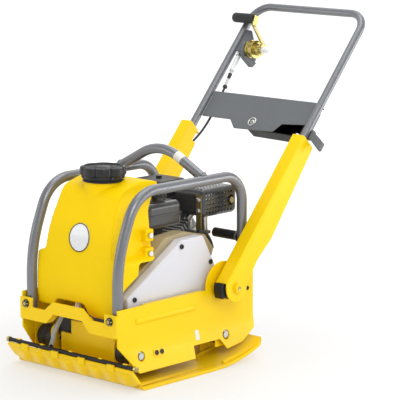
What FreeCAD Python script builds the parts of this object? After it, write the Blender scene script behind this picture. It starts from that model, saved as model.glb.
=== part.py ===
import FreeCAD, Part
import math
import os

V = FreeCAD.Vector
X_AXIS = V(1, 0, 0)
Y_AXIS = V(0, 1, 0)
Z_AXIS = V(0, 0, 1)

# Reversible vibratory plate, millimetres. +X is the belt side, -Y the front, +Z up.
# The origin is on the flat sole, in the middle of the plate's width.

# Base plate
PLATE_HALF_WIDTH = 250
PLATE_THICK = 9
SOLE_FRONT_Y = -229
SOLE_REAR_Y = 60
TAIL_RADIUS = 523
TAIL_TURN = 25.5
NOSE_TOP_Y = -274
NOSE_TOP_Z = 58
TAB_HEIGHT = 11

# Chassis
WALL_X = 193
WALL_THICK = 5
WALL_TOP_Z = 222
WALL_BEND_Z = 116
SKIRT_TIP_X = 211
BEAD_RADIUS = 12
BEAD_X = WALL_X - 7
BEAD_YS = (-192, 33)
BEAD_Z = 181
SKIRT_TIP_Z = 37
FRONT_Y = -268
REAR_Y = 291
DECK_Z = 157
DECK_THICK = 7
PIVOT_Y = 160
PIVOT_Z = 226
EAR_RADIUS = 71
BUFFER_RADIUS = 32
BUFFER_Z = 81
CHEEK_X = 192
BUFFER_YS = (-184, 165)
BRACKET_X = 120

# Roll bars and lifting hoop
BAR_X = 172
BAR_RADIUS = 15
BAR_TOP_Z = 535
BAR_BENDS = (0, 420, 110, 78, 0)
HOOP_Y = 106
HOOP_RADIUS = 14.5

# Water tank's bolted lugs
LUG_X = 150
LUG_Y = -96
LUG_ZS = (352, 403)

# Water tap and spray bar
TAP_Y = -222
TAP_Z = 187
TAP_RECESS_Z = 212
TANK_LOW_Z = 190
SPRAY_Y = -262
SPRAY_Z = 69
INLET_X = -84
INLET_BEND = V(-97, -240, 84)

# Engine and drive
CRANK_Y = 66
CRANK_Z = 268
EXCITER_YS = (-105, -25)
EXCITER_Z = 92
BELT_X = 153
DRIVE_RADIUS = 57
DRIVEN_RADIUS = 38
CYLINDER_TILT = 35
FAN_X = -126
STARTER_AT = V(-150, 130, 356)
PULL_AXIS = V(-0.85, 0.15, 0.5).normalize()

# Handle pole: lengths are measured along the pole from its pivot
POLE_LEAN = 40.9
LEG_X = 221
LEG_RADIUS = 12
LEG_OFFSET = 17
ARM_TOP = 509
HANDLE_TOP = 961
ARM_INNER_X = 203
ARM_OUTER_X = 247
HUB_RADIUS = 41
PIN_RADIUS = 9

# Travel lever: its axis lies on the pole at LEVER_ALONG
LEVER_ALONG = 799
LEVER_LEAN = 18.4
GRIP_ALONG = 97

RUNNING_GAP = 0.05
FREE_GAP = 0.5


# ---------------------------------------------------------------- helpers

def plane_point(plane, a, b, c=0):
    """Point with coordinates (a, b) in a plane and c along its normal."""
    if plane == "yz":
        return V(c, a, b)
    if plane == "xz":
        return V(a, c, b)
    if plane == "xy":
        return V(a, b, c)
    lean = math.radians(POLE_LEAN)
    y = PIVOT_Y + a * math.sin(lean) - b * math.cos(lean)
    z = PIVOT_Z + a * math.cos(lean) + b * math.sin(lean)
    return V(c, y, z)


def corner_arc(before, corner, after, radius):
    """Tangent arc of a given radius that rounds a corner, with its two ends."""
    into = (corner - before).normalize()
    out = (after - corner).normalize()
    turn = into.getAngle(out)
    back = radius * math.tan(turn / 2)
    start = corner - into * back
    end = corner + out * back
    inward = (out - into).normalize()
    middle = corner + inward * (radius / math.cos(turn / 2) - radius)
    return start, middle, end


def path_edges(corners, radii, closed):
    """Straight runs joined by tangent arcs through a list of corner points."""
    count = len(corners)
    edges = []
    first = None
    last = None if closed else corners[0]
    inner = range(count) if closed else range(1, count - 1)
    for i in inner:
        corner = corners[i]
        if radii[i] > 0:
            start, middle, end = corner_arc(corners[i - 1], corner, corners[(i + 1) % count], radii[i])
        else:
            start, middle, end = corner, None, corner
        if last is not None and last.distanceToPoint(start) > 1e-6:
            edges.append(Part.LineSegment(last, start).toShape())
        if first is None:
            first = start
        if middle is not None:
            edges.append(Part.Arc(start, middle, end).toShape())
        last = end
    goal = first if closed else corners[-1]
    if last.distanceToPoint(goal) > 1e-6:
        edges.append(Part.LineSegment(last, goal).toShape())
    return edges


def outline(points, radius, plane, c):
    """Closed wire; a point may carry its own corner radius as a third number."""
    corners = [plane_point(plane, p[0], p[1], c) for p in points]
    radii = [p[2] if len(p) > 2 else radius for p in points]
    return Part.Wire(path_edges(corners, radii, True))


def prism(points, low, high, plane="yz", radius=0):
    """Solid between two planes with a rounded outline."""
    face = Part.Face(outline(points, radius, plane, low))
    travel = plane_point(plane, 0, 0, high) - plane_point(plane, 0, 0, low)
    return face.extrude(travel)


def box(x0, x1, y0, y1, z0, z1):
    return Part.makeBox(x1 - x0, y1 - y0, z1 - z0, V(x0, y0, z0))


def soft_box(x0, x1, y0, y1, z0, z1, radius):
    """Box with all its edges rounded."""
    block = box(x0, x1, y0, y1, z0, z1)
    return block.makeFillet(radius, block.Edges)


def rod(radius, start, end):
    run = end - start
    return Part.makeCylinder(radius, run.Length, start, run)


def rod_x(radius, x0, x1, y, z):
    return Part.makeCylinder(radius, x1 - x0, V(x0, y, z), X_AXIS)


def ring_x(outer, inner, x0, x1, y, z):
    return rod_x(outer, x0, x1, y, z).cut(rod_x(inner, x0 - 1, x1 + 1, y, z))


def pipe(corners, radii, radius, bore=0):
    """Round bar or tube along straight runs and tangent arcs."""
    wire = Part.Wire(path_edges(corners, radii, False))
    direction = corners[1] - corners[0]

    def sweep(section_radius):
        circle = Part.makeCircle(section_radius, corners[0], direction)
        return wire.makePipeShell([Part.Wire(circle)], True, False)

    solid = sweep(radius)
    return solid.cut(sweep(bore)) if bore else solid


def hex_bolt(head_at, axis, across, head, shank_radius, shank):
    """Hexagon bolt: its head stands along axis from head_at, its shank goes the other way."""
    axis = V(axis).normalize()
    side = X_AXIS if abs(axis.x) < 0.9 else Y_AXIS
    spoke = (side - axis * side.dot(axis)).normalize() * (across / math.sqrt(3))
    corners = [head_at + FreeCAD.Rotation(axis, 60 * i).multVec(spoke) for i in range(6)]
    wire = Part.makePolygon(corners + corners[:1])
    body = Part.Face(wire).extrude(axis * head)
    return body.fuse(Part.makeCylinder(shank_radius, shank, head_at, axis * -1))


def fuse(parts):
    """One clean solid from overlapping pieces."""
    return parts[0].multiFuse(parts[1:]).removeSplitter()


def cut(shape, tools):
    for tool in tools:
        shape = shape.cut(tool)
    return shape


def mirrored(shape):
    return shape.mirror(V(0, 0, 0), X_AXIS)


def both_sides(shape):
    return Part.Compound([shape, mirrored(shape)])


def pole_at(x, along, off=0):
    return plane_point("pole", along, off, x)


def pole_yz(along, off):
    at = pole_at(0, along, off)
    return at.y, at.z


LEVER_AXIS = pole_yz(LEVER_ALONG, LEG_OFFSET)


def pole_slab(points, low, high):
    """Solid whose outline lies in the pole's plane: (along, x) points, between two offsets."""
    corners = [pole_at(p[1], p[0], low) for p in points]
    radii = [p[2] if len(p) > 2 else 0 for p in points]
    face = Part.Face(Part.Wire(path_edges(corners, radii, True)))
    return face.extrude(pole_at(0, 0, high) - pole_at(0, 0, low))


def save(name, shape):
    shape.exportStep("parts/" + name + ".step")


# ---------------------------------------------------------------- base plate and exciter

def plate_profile(offset):
    """Side outline of the plate, from nose to tail, moved inward by offset."""
    turn = math.radians(TAIL_TURN)
    radius = TAIL_RADIUS - offset
    nose_run = math.hypot(SOLE_FRONT_Y - NOSE_TOP_Y, NOSE_TOP_Z)
    nose_y = NOSE_TOP_Y + offset * NOSE_TOP_Z / nose_run
    bend_y = SOLE_FRONT_Y + offset * (nose_run - (SOLE_FRONT_Y - NOSE_TOP_Y)) / NOSE_TOP_Z
    tail = [V(0, SOLE_REAR_Y + radius * math.sin(turn * k / 2),
              TAIL_RADIUS - radius * math.cos(turn * k / 2)) for k in (0, 1, 2)]
    nose = V(0, nose_y, NOSE_TOP_Z + offset * (SOLE_FRONT_Y - NOSE_TOP_Y) / nose_run)
    bend = V(0, bend_y, offset)
    start, middle, end = corner_arc(nose, bend, tail[0], 26 - offset)
    return [Part.LineSegment(nose, start).toShape(), Part.Arc(start, middle, end).toShape(),
            Part.LineSegment(end, tail[0]).toShape(), Part.Arc(*tail).toShape()], nose, tail[2]


def base_plate():
    """Pressed sole plate with a steep toothed nose and a long curved tail."""
    outer, nose_out, tail_out = plate_profile(0)
    inner, nose_in, tail_in = plate_profile(PLATE_THICK)
    ends = [Part.LineSegment(nose_out, nose_in).toShape(), Part.LineSegment(tail_out, tail_in).toShape()]
    wire = Part.Wire(Part.__sortEdges__(outer + inner + ends))
    face = Part.Face(wire)
    face.translate(V(-PLATE_HALF_WIDTH, 0, 0))
    plate = face.extrude(V(2 * PLATE_HALF_WIDTH, 0, 0))
    half = PLATE_HALF_WIDTH
    plan = [(-half, -300), (half, -300), (half, REAR_Y - 6, 34), (-half, REAR_Y - 6, 34)]
    plate = plate.common(prism(plan, -5, 120, "xy"))
    corner = [(half - 44, -1), (half + 1, 24), (half + 1, -1)]
    wedge = prism(corner, -300, SOLE_FRONT_Y, "xz")
    plate = cut(plate, [wedge, mirrored(wedge)])
    tab_y = NOSE_TOP_Y - 1
    tabs = [box(x - 13, x + 13, tab_y, tab_y + 5, NOSE_TOP_Z - 8, NOSE_TOP_Z + TAB_HEIGHT)
            for x in (-178, -55, 52, 168)]
    ribs = [rib(side * x) for side in (-1, 1) for x in (132, 238)]
    return fuse([plate] + tabs + ribs)


def rib(x):
    """Stiffening rib on the tail, tapering to the rear."""
    points = [(110, 0), (268, 0), (268, 46), (225, 38), (130, 24), (110, 20)]
    return prism(points, x - 4, x + 4).common(above_tail(PLATE_THICK - 2))


def above_tail(depth):
    """Space above a surface that lies a given depth inside the tail's curve."""
    return rod_x(TAIL_RADIUS - depth, -PLATE_HALF_WIDTH, PLATE_HALF_WIDTH, SOLE_REAR_Y, TAIL_RADIUS)


def base_brackets():
    """Uprights for the rubber buffers and the guard wall in front of the exciter."""
    pieces = []
    for side in (-1, 1):
        for y in BUFFER_YS:
            points = [(y - 32, PLATE_THICK), (y + 44, PLATE_THICK), (y + 34, 124, 20), (y - 34, 124, 20)]
            x0 = BRACKET_X if side > 0 else -BRACKET_X - 8
            upright = prism(points, x0, x0 + 8)
            if y > SOLE_REAR_Y:
                upright = upright.common(above_tail(PLATE_THICK))
            stud_hole = rod_x(6.3, x0 - 1, x0 + 9, y, BUFFER_Z)
            pieces.append(upright.cut(stud_hole))
    wall = [(-95, PLATE_THICK), (118, PLATE_THICK), (118, 148), (-54, 148), (-54, 108), (-95, 108)]
    pieces.append(prism(wall, -208, -202, "xz"))
    return Part.Compound(pieces)


def rubber_buffers():
    """Four round rubber mounts that carry the chassis on the base plate."""
    length = WALL_X - WALL_THICK - BRACKET_X - 8
    mounts = []
    for side in (-1, 1):
        for y in BUFFER_YS:
            x0 = BRACKET_X + 8 if side > 0 else -BRACKET_X - 8 - length
            body = rod_x(BUFFER_RADIUS, x0, x0 + length, y, BUFFER_Z)
            groove = Part.makeTorus(BUFFER_RADIUS + 6, 10, V(x0 + length / 2, y, BUFFER_Z), X_AXIS)
            mounts.append(body.cut(groove))
    return Part.Compound(mounts)


def stadium(radius, low, high):
    """Rounded block around both exciter shafts."""
    front, rear = EXCITER_YS
    ends = [rod_x(radius, low, high, y, EXCITER_Z) for y in EXCITER_YS]
    middle = box(low, high, front, rear, EXCITER_Z - radius, EXCITER_Z + radius)
    return fuse(ends + [middle])


def exciter_housing():
    """Cast housing, open at both ends, on two feet welded to the base plate."""
    body = stadium(54, -100, 100)
    feet = [box(-86, 86, y - 26, y + 26, PLATE_THICK, EXCITER_Z - 40) for y in EXCITER_YS]
    return cut(fuse([body] + feet), [stadium(46, -101, 101)])


def exciter_covers():
    """End covers that carry the four bearings; the left one also carries the shift arm's stub."""
    right = stadium(54, 100, 118)
    left = stadium(54, -118, -100)
    for y in EXCITER_YS:
        bore = rod_x(30, -119, 119, y, EXCITER_Z)
        right = right.cut(bore)
        left = left.cut(bore)
    stub = rod_x(8, -142, -118, sum(EXCITER_YS) / 2, EXCITER_Z + 20)
    return Part.Compound([right, left.fuse(stub)])


def exciter_bearings():
    """Roller bearings, one at each end of each eccentric shaft."""
    rings = []
    for y in EXCITER_YS:
        for x in (-117, 101):
            ring = ring_x(29.98, 15 + RUNNING_GAP, x, x + 16, y, EXCITER_Z)
            groove = ring_x(26, 19, x + 13, x + 17, y, EXCITER_Z)
            rings.append(ring.cut(groove))
    return Part.Compound(rings)


def eccentric_shaft(y, right_end):
    """Shaft with a half-round weight between its bearings."""
    shaft = rod_x(15, -116, 117, y, EXCITER_Z)
    weight = rod_x(36, -62, 82, y, EXCITER_Z)
    weight = weight.cut(box(-63, 83, y - 40, y + 40, EXCITER_Z, EXCITER_Z + 40))
    parts = [shaft, weight]
    if right_end > 117:
        parts.append(rod_x(12, 117, right_end, y, EXCITER_Z))
    return fuse(parts)


def timing_gear(y, phase):
    """Spur gear that keeps the two eccentric shafts in step."""
    teeth = 20
    pitch_radius = (EXCITER_YS[1] - EXCITER_YS[0]) / 2
    root = pitch_radius - 4.6
    tip = pitch_radius + 3.4
    step = 2 * math.pi / teeth
    points = []
    for k in range(teeth):
        middle = (k + phase) * step
        for radius, spread in ((root, -0.29), (tip, -0.12), (tip, 0.12), (root, 0.29)):
            angle = middle + spread * step
            points.append((y + radius * math.cos(angle), EXCITER_Z + radius * math.sin(angle)))
    gear = prism(points, -90, -70)
    return gear.cut(rod_x(15, -91, -69, y, EXCITER_Z))


def grooved_pulley(radius, bore, y, z, x0, x1):
    """Pulley with one vee groove at the belt's line."""
    groove = [(BELT_X - 7, radius + 1), (BELT_X + 7, radius + 1), (BELT_X + 4, radius - 11),
              (BELT_X - 4, radius - 11)]
    points = [V(x, y + r, z) for x, r in groove]
    ring = Part.Face(Part.makePolygon(points + points[:1])).revolve(V(0, y, z), X_AXIS, 360)
    return rod_x(radius, x0, x1, y, z).cut(ring).cut(rod_x(bore, x0 - 1, x1 + 1, y, z))


def v_belt():
    """Vee belt round the clutch pulley and the exciter pulley."""
    gap = math.hypot(CRANK_Y - EXCITER_YS[0], CRANK_Z - EXCITER_Z)
    line = math.atan2(CRANK_Z - EXCITER_Z, CRANK_Y - EXCITER_YS[0])

    def loop(inset, low, high):
        big = DRIVE_RADIUS - inset
        small = DRIVEN_RADIUS - inset
        lean = math.acos((big - small) / gap)
        ends = []
        for side in (1, -1):
            angle = line + side * (math.pi - lean)
            for r, y, z in ((small, EXCITER_YS[0], EXCITER_Z), (big, CRANK_Y, CRANK_Z)):
                ends.append(V(low, y + r * math.cos(angle), z + r * math.sin(angle)))
        far = V(low, CRANK_Y + big * math.cos(line), CRANK_Z + big * math.sin(line))
        near = V(low, EXCITER_YS[0] - small * math.cos(line), EXCITER_Z - small * math.sin(line))
        edges = [Part.LineSegment(ends[0], ends[1]).toShape(), Part.Arc(ends[1], far, ends[3]).toShape(),
                 Part.LineSegment(ends[3], ends[2]).toShape(), Part.Arc(ends[2], near, ends[0]).toShape()]
        return Part.Face(Part.Wire(edges)).extrude(V(high - low, 0, 0))

    return loop(0.5, BELT_X - 4.2, BELT_X + 4.2).cut(loop(8, BELT_X - 6, BELT_X + 6))


def shift_arm():
    """Arm that turns the rear weight's phase when the travel lever moves."""
    y = sum(EXCITER_YS) / 2
    z = EXCITER_Z + 20
    arm = prism([(y - 9, z), (y + 9, z), (y + 6, z + 34, 5), (y - 6, z + 34, 5)], -136, -130)
    hub = rod_x(13, -140, -126, y, z)
    arm = fuse([arm, hub])
    return cut(arm, [rod_x(8 + RUNNING_GAP, -145, -120, y, z), rod_x(2.5, -140, -125, y, z + 28)])


# ---------------------------------------------------------------- chassis and frame

def skirt_outline():
    """Side view of a chassis wall: ear round the pole pivot, rear horn, stepped lower edge."""
    ear_tip = math.radians(11)
    rise = PIVOT_Z - WALL_TOP_Z
    ear_start = (PIVOT_Y - math.sqrt(EAR_RADIUS ** 2 - rise ** 2), WALL_TOP_Z)
    slope = math.radians(45)
    shoulder = (PIVOT_Y - EAR_RADIUS * math.sin(slope), PIVOT_Z + EAR_RADIUS * math.cos(slope))
    tip = (PIVOT_Y + EAR_RADIUS * math.sin(ear_tip), PIVOT_Z + EAR_RADIUS * math.cos(ear_tip))
    arc = Part.Arc(V(0, *ear_start), V(0, *shoulder), V(0, *tip)).toShape()
    rest = [tip, (REAR_Y, 272), (REAR_Y, 100), (288, 81), (228, 50), (162, 41), (137, 73), (27, 73),
            (27, SKIRT_TIP_Z), (-200, SKIRT_TIP_Z), (FRONT_Y, 118), (FRONT_Y, WALL_TOP_Z), ear_start]
    lines = [Part.LineSegment(V(0, *rest[i]), V(0, *rest[i + 1])).toShape() for i in range(len(rest) - 1)]
    return Part.Face(Part.Wire([arc] + lines)).extrude(V(300, 0, 0))


def chassis_wall():
    """Right side wall: upright above, flared skirt below, access holes over the buffers."""
    inner = WALL_X - WALL_THICK
    section = [(inner, 320), (WALL_X, 320), (WALL_X, WALL_BEND_Z), (SKIRT_TIP_X, SKIRT_TIP_Z),
               (SKIRT_TIP_X - WALL_THICK, SKIRT_TIP_Z), (inner, WALL_BEND_Z)]
    wall = prism(section, FRONT_Y, REAR_Y, "xz").common(skirt_outline())
    holes = [rod_x(14, CHEEK_X, 220, y, BUFFER_Z) for y in BUFFER_YS]
    holes += [rod_x(6, 180, 220, y, 81.5) for y in (-126, -105)]
    holes.append(rod_x(PIN_RADIUS + RUNNING_GAP, 180, 220, PIVOT_Y, PIVOT_Z))
    holes += [rod_x(6.2, inner - 1, WALL_X, y, BUFFER_Z) for y in BUFFER_YS]
    bead_ends = [V(BEAD_X, y, BEAD_Z) for y in BEAD_YS]
    bead = fuse([rod(BEAD_RADIUS, *bead_ends)] + [Part.makeSphere(BEAD_RADIUS, end) for end in bead_ends])
    bead = bead.common(box(WALL_X - 1, WALL_X + BEAD_RADIUS, -260, 100, 150, 220))
    flange = box(176, inner, -158, 79, WALL_TOP_Z - WALL_THICK, WALL_TOP_Z)
    buffer_plates = [box(inner, CHEEK_X, y - 36, y + 36, 48, 130) for y in BUFFER_YS]
    return cut(fuse([wall, flange, bead] + buffer_plates), holes)


def front_cross_member():
    """Folded front plate with a raised middle and a bolt column at each end."""
    front = [(-WALL_X, 144), (-88, 144), (-58, 174), (58, 174), (88, 144), (WALL_X, 144),
             (WALL_X, 208), (146, 208), (146, 181), (94, 181), (60, 209), (-60, 209), (-94, 181),
             (-146, 181), (-146, 208), (-WALL_X, 208)]
    plate = prism(front, FRONT_Y - 6, FRONT_Y, "xz", 3)
    shelf = [(-WALL_X + WALL_THICK, 144), (-88, 144), (-58, 174), (58, 174), (88, 144),
             (WALL_X - WALL_THICK, 144), (WALL_X - WALL_THICK, 149), (86, 149), (56, 179), (-56, 179),
             (-86, 149), (-WALL_X + WALL_THICK, 149)]
    ledge = prism(shelf, FRONT_Y, FRONT_Y + 34, "xz")  # notched below where the hose passes
    tools = [rod(6.4, V(side * 168, FRONT_Y - 8, 190), V(side * 168, FRONT_Y + 2, 190)) for side in (-1, 1)]
    tools += [rod(BAR_RADIUS, V(side * BAR_X, -247, 100), V(side * BAR_X, -247, 250)) for side in (-1, 1)]
    tools.append(box(-96, -60, FRONT_Y + 22, FRONT_Y + 35, 140, 186))
    return cut(fuse([plate, ledge]), tools)


def engine_deck():
    """Deck plate under the engine, cut away for the belt and for the buffers' bolts."""
    inner = WALL_X - WALL_THICK
    points = [(-inner, -60), (132, -60), (132, 168), (inner, 168), (inner, 284), (-inner, 284)]
    deck = prism(points, DECK_Z, DECK_Z + DECK_THICK, "xy")
    rear_lip = box(-inner, inner, 278, 284, 104, DECK_Z)
    drain = box(-30, 30, 120, 150, DECK_Z - 1, DECK_Z + DECK_THICK + 1)
    bars = [rod(BAR_RADIUS, V(side * BAR_X, 264, 150), V(side * BAR_X, 264, 200)) for side in (-1, 1)]
    return cut(fuse([deck, rear_lip]), [drain] + bars)


def roll_bar_path(side):
    """Corner points of a protective bar: leaning front leg, level top, upright rear leg."""
    path = [(-247, 150), (-247, 352), (-173, BAR_TOP_Z), (264, BAR_TOP_Z), (264, 168)]
    return [V(side * BAR_X, y, z) for y, z in path]


def roll_bars():
    bore = BAR_RADIUS - 2.5
    return Part.Compound([pipe(roll_bar_path(side), BAR_BENDS, BAR_RADIUS, bore) for side in (-1, 1)])


def lifting_hoop():
    """Peaked tube between the roll bars, under which a sling is passed."""
    rise = 0.532
    corners = [V(-BAR_X, HOOP_Y, BAR_TOP_Z + 3), V(0, HOOP_Y, BAR_TOP_Z + 3 + BAR_X * rise),
               V(BAR_X, HOOP_Y, BAR_TOP_Z + 3)]
    hoop = pipe(corners, [0, 155, 0], HOOP_RADIUS)
    saddles = [rod(BAR_RADIUS, V(x, 0, BAR_TOP_Z), V(x, 180, BAR_TOP_Z)) for x in (-BAR_X, BAR_X)]
    outside = [box(BAR_X, 220, 60, 130, 480, 600), box(-220, -BAR_X, 60, 130, 480, 600)]
    return cut(hoop, saddles + outside)


def rear_stub_bar():
    """Short dark bar that stands inwards from the right roll bar's rear leg."""
    leg = rod(BAR_RADIUS, V(BAR_X, 264, 300), V(BAR_X, 264, 400))
    return rod_x(14, 66, BAR_X, 264, 351).cut(leg).cut(rod_x(9, 60, 150, 264, 351))


def frame_bolts():
    """Zinc bolts: front columns, tank lugs, buffer studs and the pole's pivot bolts."""
    bolts = []
    for side in (-1, 1):
        bolts.append(hex_bolt(V(side * 168, FRONT_Y - 6, 190), V(0, -1, 0), 18, 7, 6.2, 6.2))
        for y in BUFFER_YS:
            stud = hex_bolt(V(side * CHEEK_X, y, BUFFER_Z), V(side, 0, 0), 19, 9, 6, 4)
            washer = rod(13, V(side * CHEEK_X, y, BUFFER_Z), V(side * (CHEEK_X + 2.5), y, BUFFER_Z))
            bolts.append(fuse([stud, washer]))
        head = V(side * (ARM_OUTER_X + 0.6), PIVOT_Y, PIVOT_Z)
        shank = ARM_OUTER_X + 0.6 - 178
        pin = hex_bolt(head, V(side, 0, 0), 24, 8, PIN_RADIUS, shank)
        nut = rod(14, V(side * 178, PIVOT_Y, PIVOT_Z), V(side * (WALL_X - WALL_THICK), PIVOT_Y, PIVOT_Z))
        bolts.append(fuse([pin, nut]))
        for z in LUG_ZS:
            bolts.append(hex_bolt(V(side * LUG_X, LUG_Y, z), V(side, 0, 0), 15, 6, 5, 8))
    return Part.Compound(bolts)


# ---------------------------------------------------------------- water system

def tank_side_outline():
    """Side view of the water tank: the front follows the roll bars' curve."""
    return [(-238, 176, 12), (-243, 262, 300), (-222, 418, 260), (-176, 528, 46), (-96, 553, 90),
            (-6, 541, 8), (-40, 524, 30), (-70, 470, 40), (-70, 332, 8), (-150, 332, 10),
            (-152, 268, 20), (-192, 250, 20), (-192, 176, 8)]


def water_tank():
    """Hollow tank, wide below and narrower between the roll bars, with a filler neck."""
    front = [(-155, TANK_LOW_Z, 8), (-98, TANK_LOW_Z, 6), (-74, TAP_RECESS_Z, 6), (28, TAP_RECESS_Z, 6),
             (48, 184, 6), (70, 178, 6), (155, 178, 8), (162, 340, 12), (132, 350, 10), (110, 560, 26),
             (-110, 560, 26), (-132, 350, 10), (-162, 340, 12)]
    side = prism(tank_side_outline(), -170, 170)
    body = side.common(prism(front, -260, 10, "xz"))
    lugs = [box(x0, x0 + 22, LUG_Y - 16, LUG_Y + 16, z - 17, z + 17)
            for x0 in (LUG_X - 22, -LUG_X) for z in LUG_ZS]
    lug_holes = [rod_x(5, x0, x0 + 8, LUG_Y, z) for x0 in (LUG_X - 8, -LUG_X) for z in LUG_ZS]
    neck = rod(53, V(4, -133, 470), V(4, -133, 551))
    inside = box(-104, 104, -182, -84, 356, 486)
    low_inside = box(-128, POCKET_X - 10, -226, -204, 222, 330)
    pocket = [(-214, 170), (-214, 256), (-198, 269), (-92, 333), (-34, 388), (-34, 170)]
    guard_pocket = prism(pocket, POCKET_X, 175)
    bars = [pipe(roll_bar_path(side), BAR_BENDS, BAR_RADIUS + 1.5) for side in (-1, 1)]
    hollow = fuse([inside, low_inside, box(-100, 100, -214, -160, 338, 400),
                   box(-120, POCKET_X - 10, -226, -166, 300, 340)])
    throat = rod(45, V(4, -133, 460), V(4, -133, 560))
    return cut(fuse([body, neck] + lugs), [hollow, throat, guard_pocket] + lug_holes + bars)


def tank_cap():
    """Eight-lobed screw cap with ribbed sides and a dished top."""
    centre = V(4, -133, 556)
    points = []
    for k in range(8):
        angle = math.radians(45 * k)
        for turn, radius in ((-15, 64), (0, 65), (15, 64)):
            a = angle + math.radians(turn)
            points.append((centre.x + radius * math.cos(a), centre.y + radius * math.sin(a)))
    body = prism(points, 556, 588, "xy")
    ribs = []
    for k in range(40):
        a = math.radians(9 * k)
        ribs.append(rod(2, centre + V(62.5 * math.cos(a), 62.5 * math.sin(a), 2),
                        centre + V(62.5 * math.cos(a), 62.5 * math.sin(a), 24)))
    dish = Part.makeCone(48, 53, 7, V(centre.x, centre.y, 582))
    grip = box(centre.x - 42, centre.x + 42, centre.y - 7, centre.y + 7, 575, 587)
    plug = rod(44.4, V(centre.x, centre.y, 535), V(centre.x, centre.y, 557))
    return fuse([body.cut(dish), grip, plug] + ribs)


def tank_cap_seal():
    """Rubber ring that the cap is screwed down on."""
    low = V(4, -133, 551.3)
    high = V(4, -133, 555.7)
    return rod(54, low, high).cut(rod(45, V(4, -133, 550), V(4, -133, 558)))


def tank_emblem():
    """Plain round disc that lies on the tank's curved front."""
    tank = prism(tank_side_outline(), -60, 60)
    skin = tank.translated(V(0, -2.5, 0)).cut(tank)
    return rod(40, V(2, -270, 396), V(2, -200, 396)).common(skin)


def water_hose():
    """Clear hose from the tap under the tank, down behind the cross-member to the spray bar."""
    corners = [V(-24, TAP_Y, TAP_Z), V(-58, TAP_Y, TAP_Z), V(-92, -236, 116), INLET_BEND, inlet_end()]
    return pipe(corners, [0, 40, 34, 16, 0], 7)


def inlet_end():
    """Where the hose is pushed on the spray bar's inlet stub."""
    bar = V(INLET_X, SPRAY_Y, SPRAY_Z)
    return bar + (INLET_BEND - bar).normalize() * 13


def water_tap_body():
    """Shut-off tap screwed into the tank's underside."""
    barrel = rod_x(10, -24, 4, TAP_Y, TAP_Z)
    stem = rod(9, V(-10, TAP_Y, TAP_Z), V(-10, TAP_Y, TAP_RECESS_Z))
    spindle = rod_x(4, 4, 17, TAP_Y, TAP_Z)
    return fuse([barrel, stem, spindle])


def water_tap_lever():
    """Quarter-turn lever of the tap."""
    hub = rod_x(8, 5, 14, TAP_Y, TAP_Z)
    blade = box(8, 12, TAP_Y, TAP_Y + 34, TAP_Z - 3, TAP_Z + 3)
    return fuse([hub, blade]).cut(rod_x(4 + RUNNING_GAP, 0, 20, TAP_Y, TAP_Z))


def spray_bar():
    """Water pipe along the nose, closed by a plug at each end."""
    tube = rod_x(6, -250, 250, SPRAY_Y, SPRAY_Z)
    plugs = [rod_x(7.5, x, x + 9, SPRAY_Y, SPRAY_Z) for x in (-259, 250)]
    inlet = rod(5, V(INLET_X, SPRAY_Y, SPRAY_Z), inlet_end())
    return fuse([tube, inlet] + plugs)


def spray_bar_clips():
    """Brackets that stand on the nose's inner face and hold the spray bar."""
    clips = []
    for x in (-214, -118, 0, 118, 214):
        ring = ring_x(8.5, 6, x - 7, x + 7, SPRAY_Y, SPRAY_Z)
        ring = ring.common(box(x - 8, x + 8, SPRAY_Y - 3, SPRAY_Y + 9, SPRAY_Z - 4, SPRAY_Z + 9))
        foot = prism([(-263.8, 61), (-256.6, 51.7), (-253, 54), (-254, 67), (-261, 66)], x - 7, x + 7)
        clips.append(fuse([ring, foot.cut(rod_x(6, x - 8, x + 8, SPRAY_Y, SPRAY_Z))]))
    return Part.Compound(clips)


# ---------------------------------------------------------------- belt guard

POCKET_X = 92
RIM_X = 97
GUARD_OUTLINE = [(-206, 214, 12), (-207, 242, 12), (12, 376, 20), (102, 378, 14), (152, 284, 10),
                 (110, 190, 30), (-10, 60, 40), (-70, 44, 26), (-146, 44, 26), (-148, 130, 20)]


def guard_shell():
    """Backing plate of the belt guard, with a deep rim over its sloping front and its top."""
    points = [(-198, 206, 10), (-196, 262, 10), (-90, 326, 20), (-28, 384, 22), (50, 391, 20), (141, 371, 14),
              (178, 326, 12), (120, 190, 30), (0, 60, 40), (-70, 42, 28), (-146, 42, 26), (-148, 130, 20)]
    within = [(-195, 200, 8), (-193, 260, 8), (-88.5, 323, 18), (-27, 381, 20), (50, 388, 18), (141, 368, 12),
              (178, 300, 12), (120, 190, 30)]
    beyond = [box(RIM_X - 1, 138, -200, 200, 0, 222), box(RIM_X - 1, 138, 96, 200, 0, 400)]
    rim = cut(prism(points, RIM_X, 137), [prism(within, RIM_X - 1, 138)] + beyond)
    plate = fuse([prism(points, 137, 140), rim])
    holes = [rod_x(26, 130, 150, CRANK_Y, CRANK_Z), rod_x(14, 130, 150, EXCITER_YS[0], EXCITER_Z)]
    return cut(plate, holes)


def guard_cover():
    """Pressed cover over the belt."""
    shell = prism(GUARD_OUTLINE, 140.5, 170)
    front_edges = [e for e in shell.Edges if e.BoundBox.XMin > 169.9]
    shell = shell.makeFillet(5, front_edges)
    hollow = [(-202, 217, 9), (-203, 239, 9), (13, 372, 18), (99, 374, 11), (147, 284, 8),
              (106, 191, 27), (-12, 64, 36), (-71, 48, 23), (-142, 48, 23), (-144, 131, 17)]
    inside = prism(hollow, 139, 166.5)
    boss_holes = [rod_x(4.3, 160, 175, y, z) for y, z in guard_bolt_places()]
    return cut(shell, [inside] + boss_holes)


def guard_bolt_places():
    return ((-180, 236), (10, 358), (131, 297), (-45, 70))


def guard_bolts():
    """Dark socket screws with spacers that hold the cover to the backing plate."""
    screws = []
    for y, z in guard_bolt_places():
        shank = rod_x(4, 140, 170, y, z)
        head = rod_x(7, 170, 174.5, y, z).cut(rod_x(3, 172, 176, y, z))
        screws.append(fuse([shank, head]))
    return Part.Compound(screws)


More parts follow.
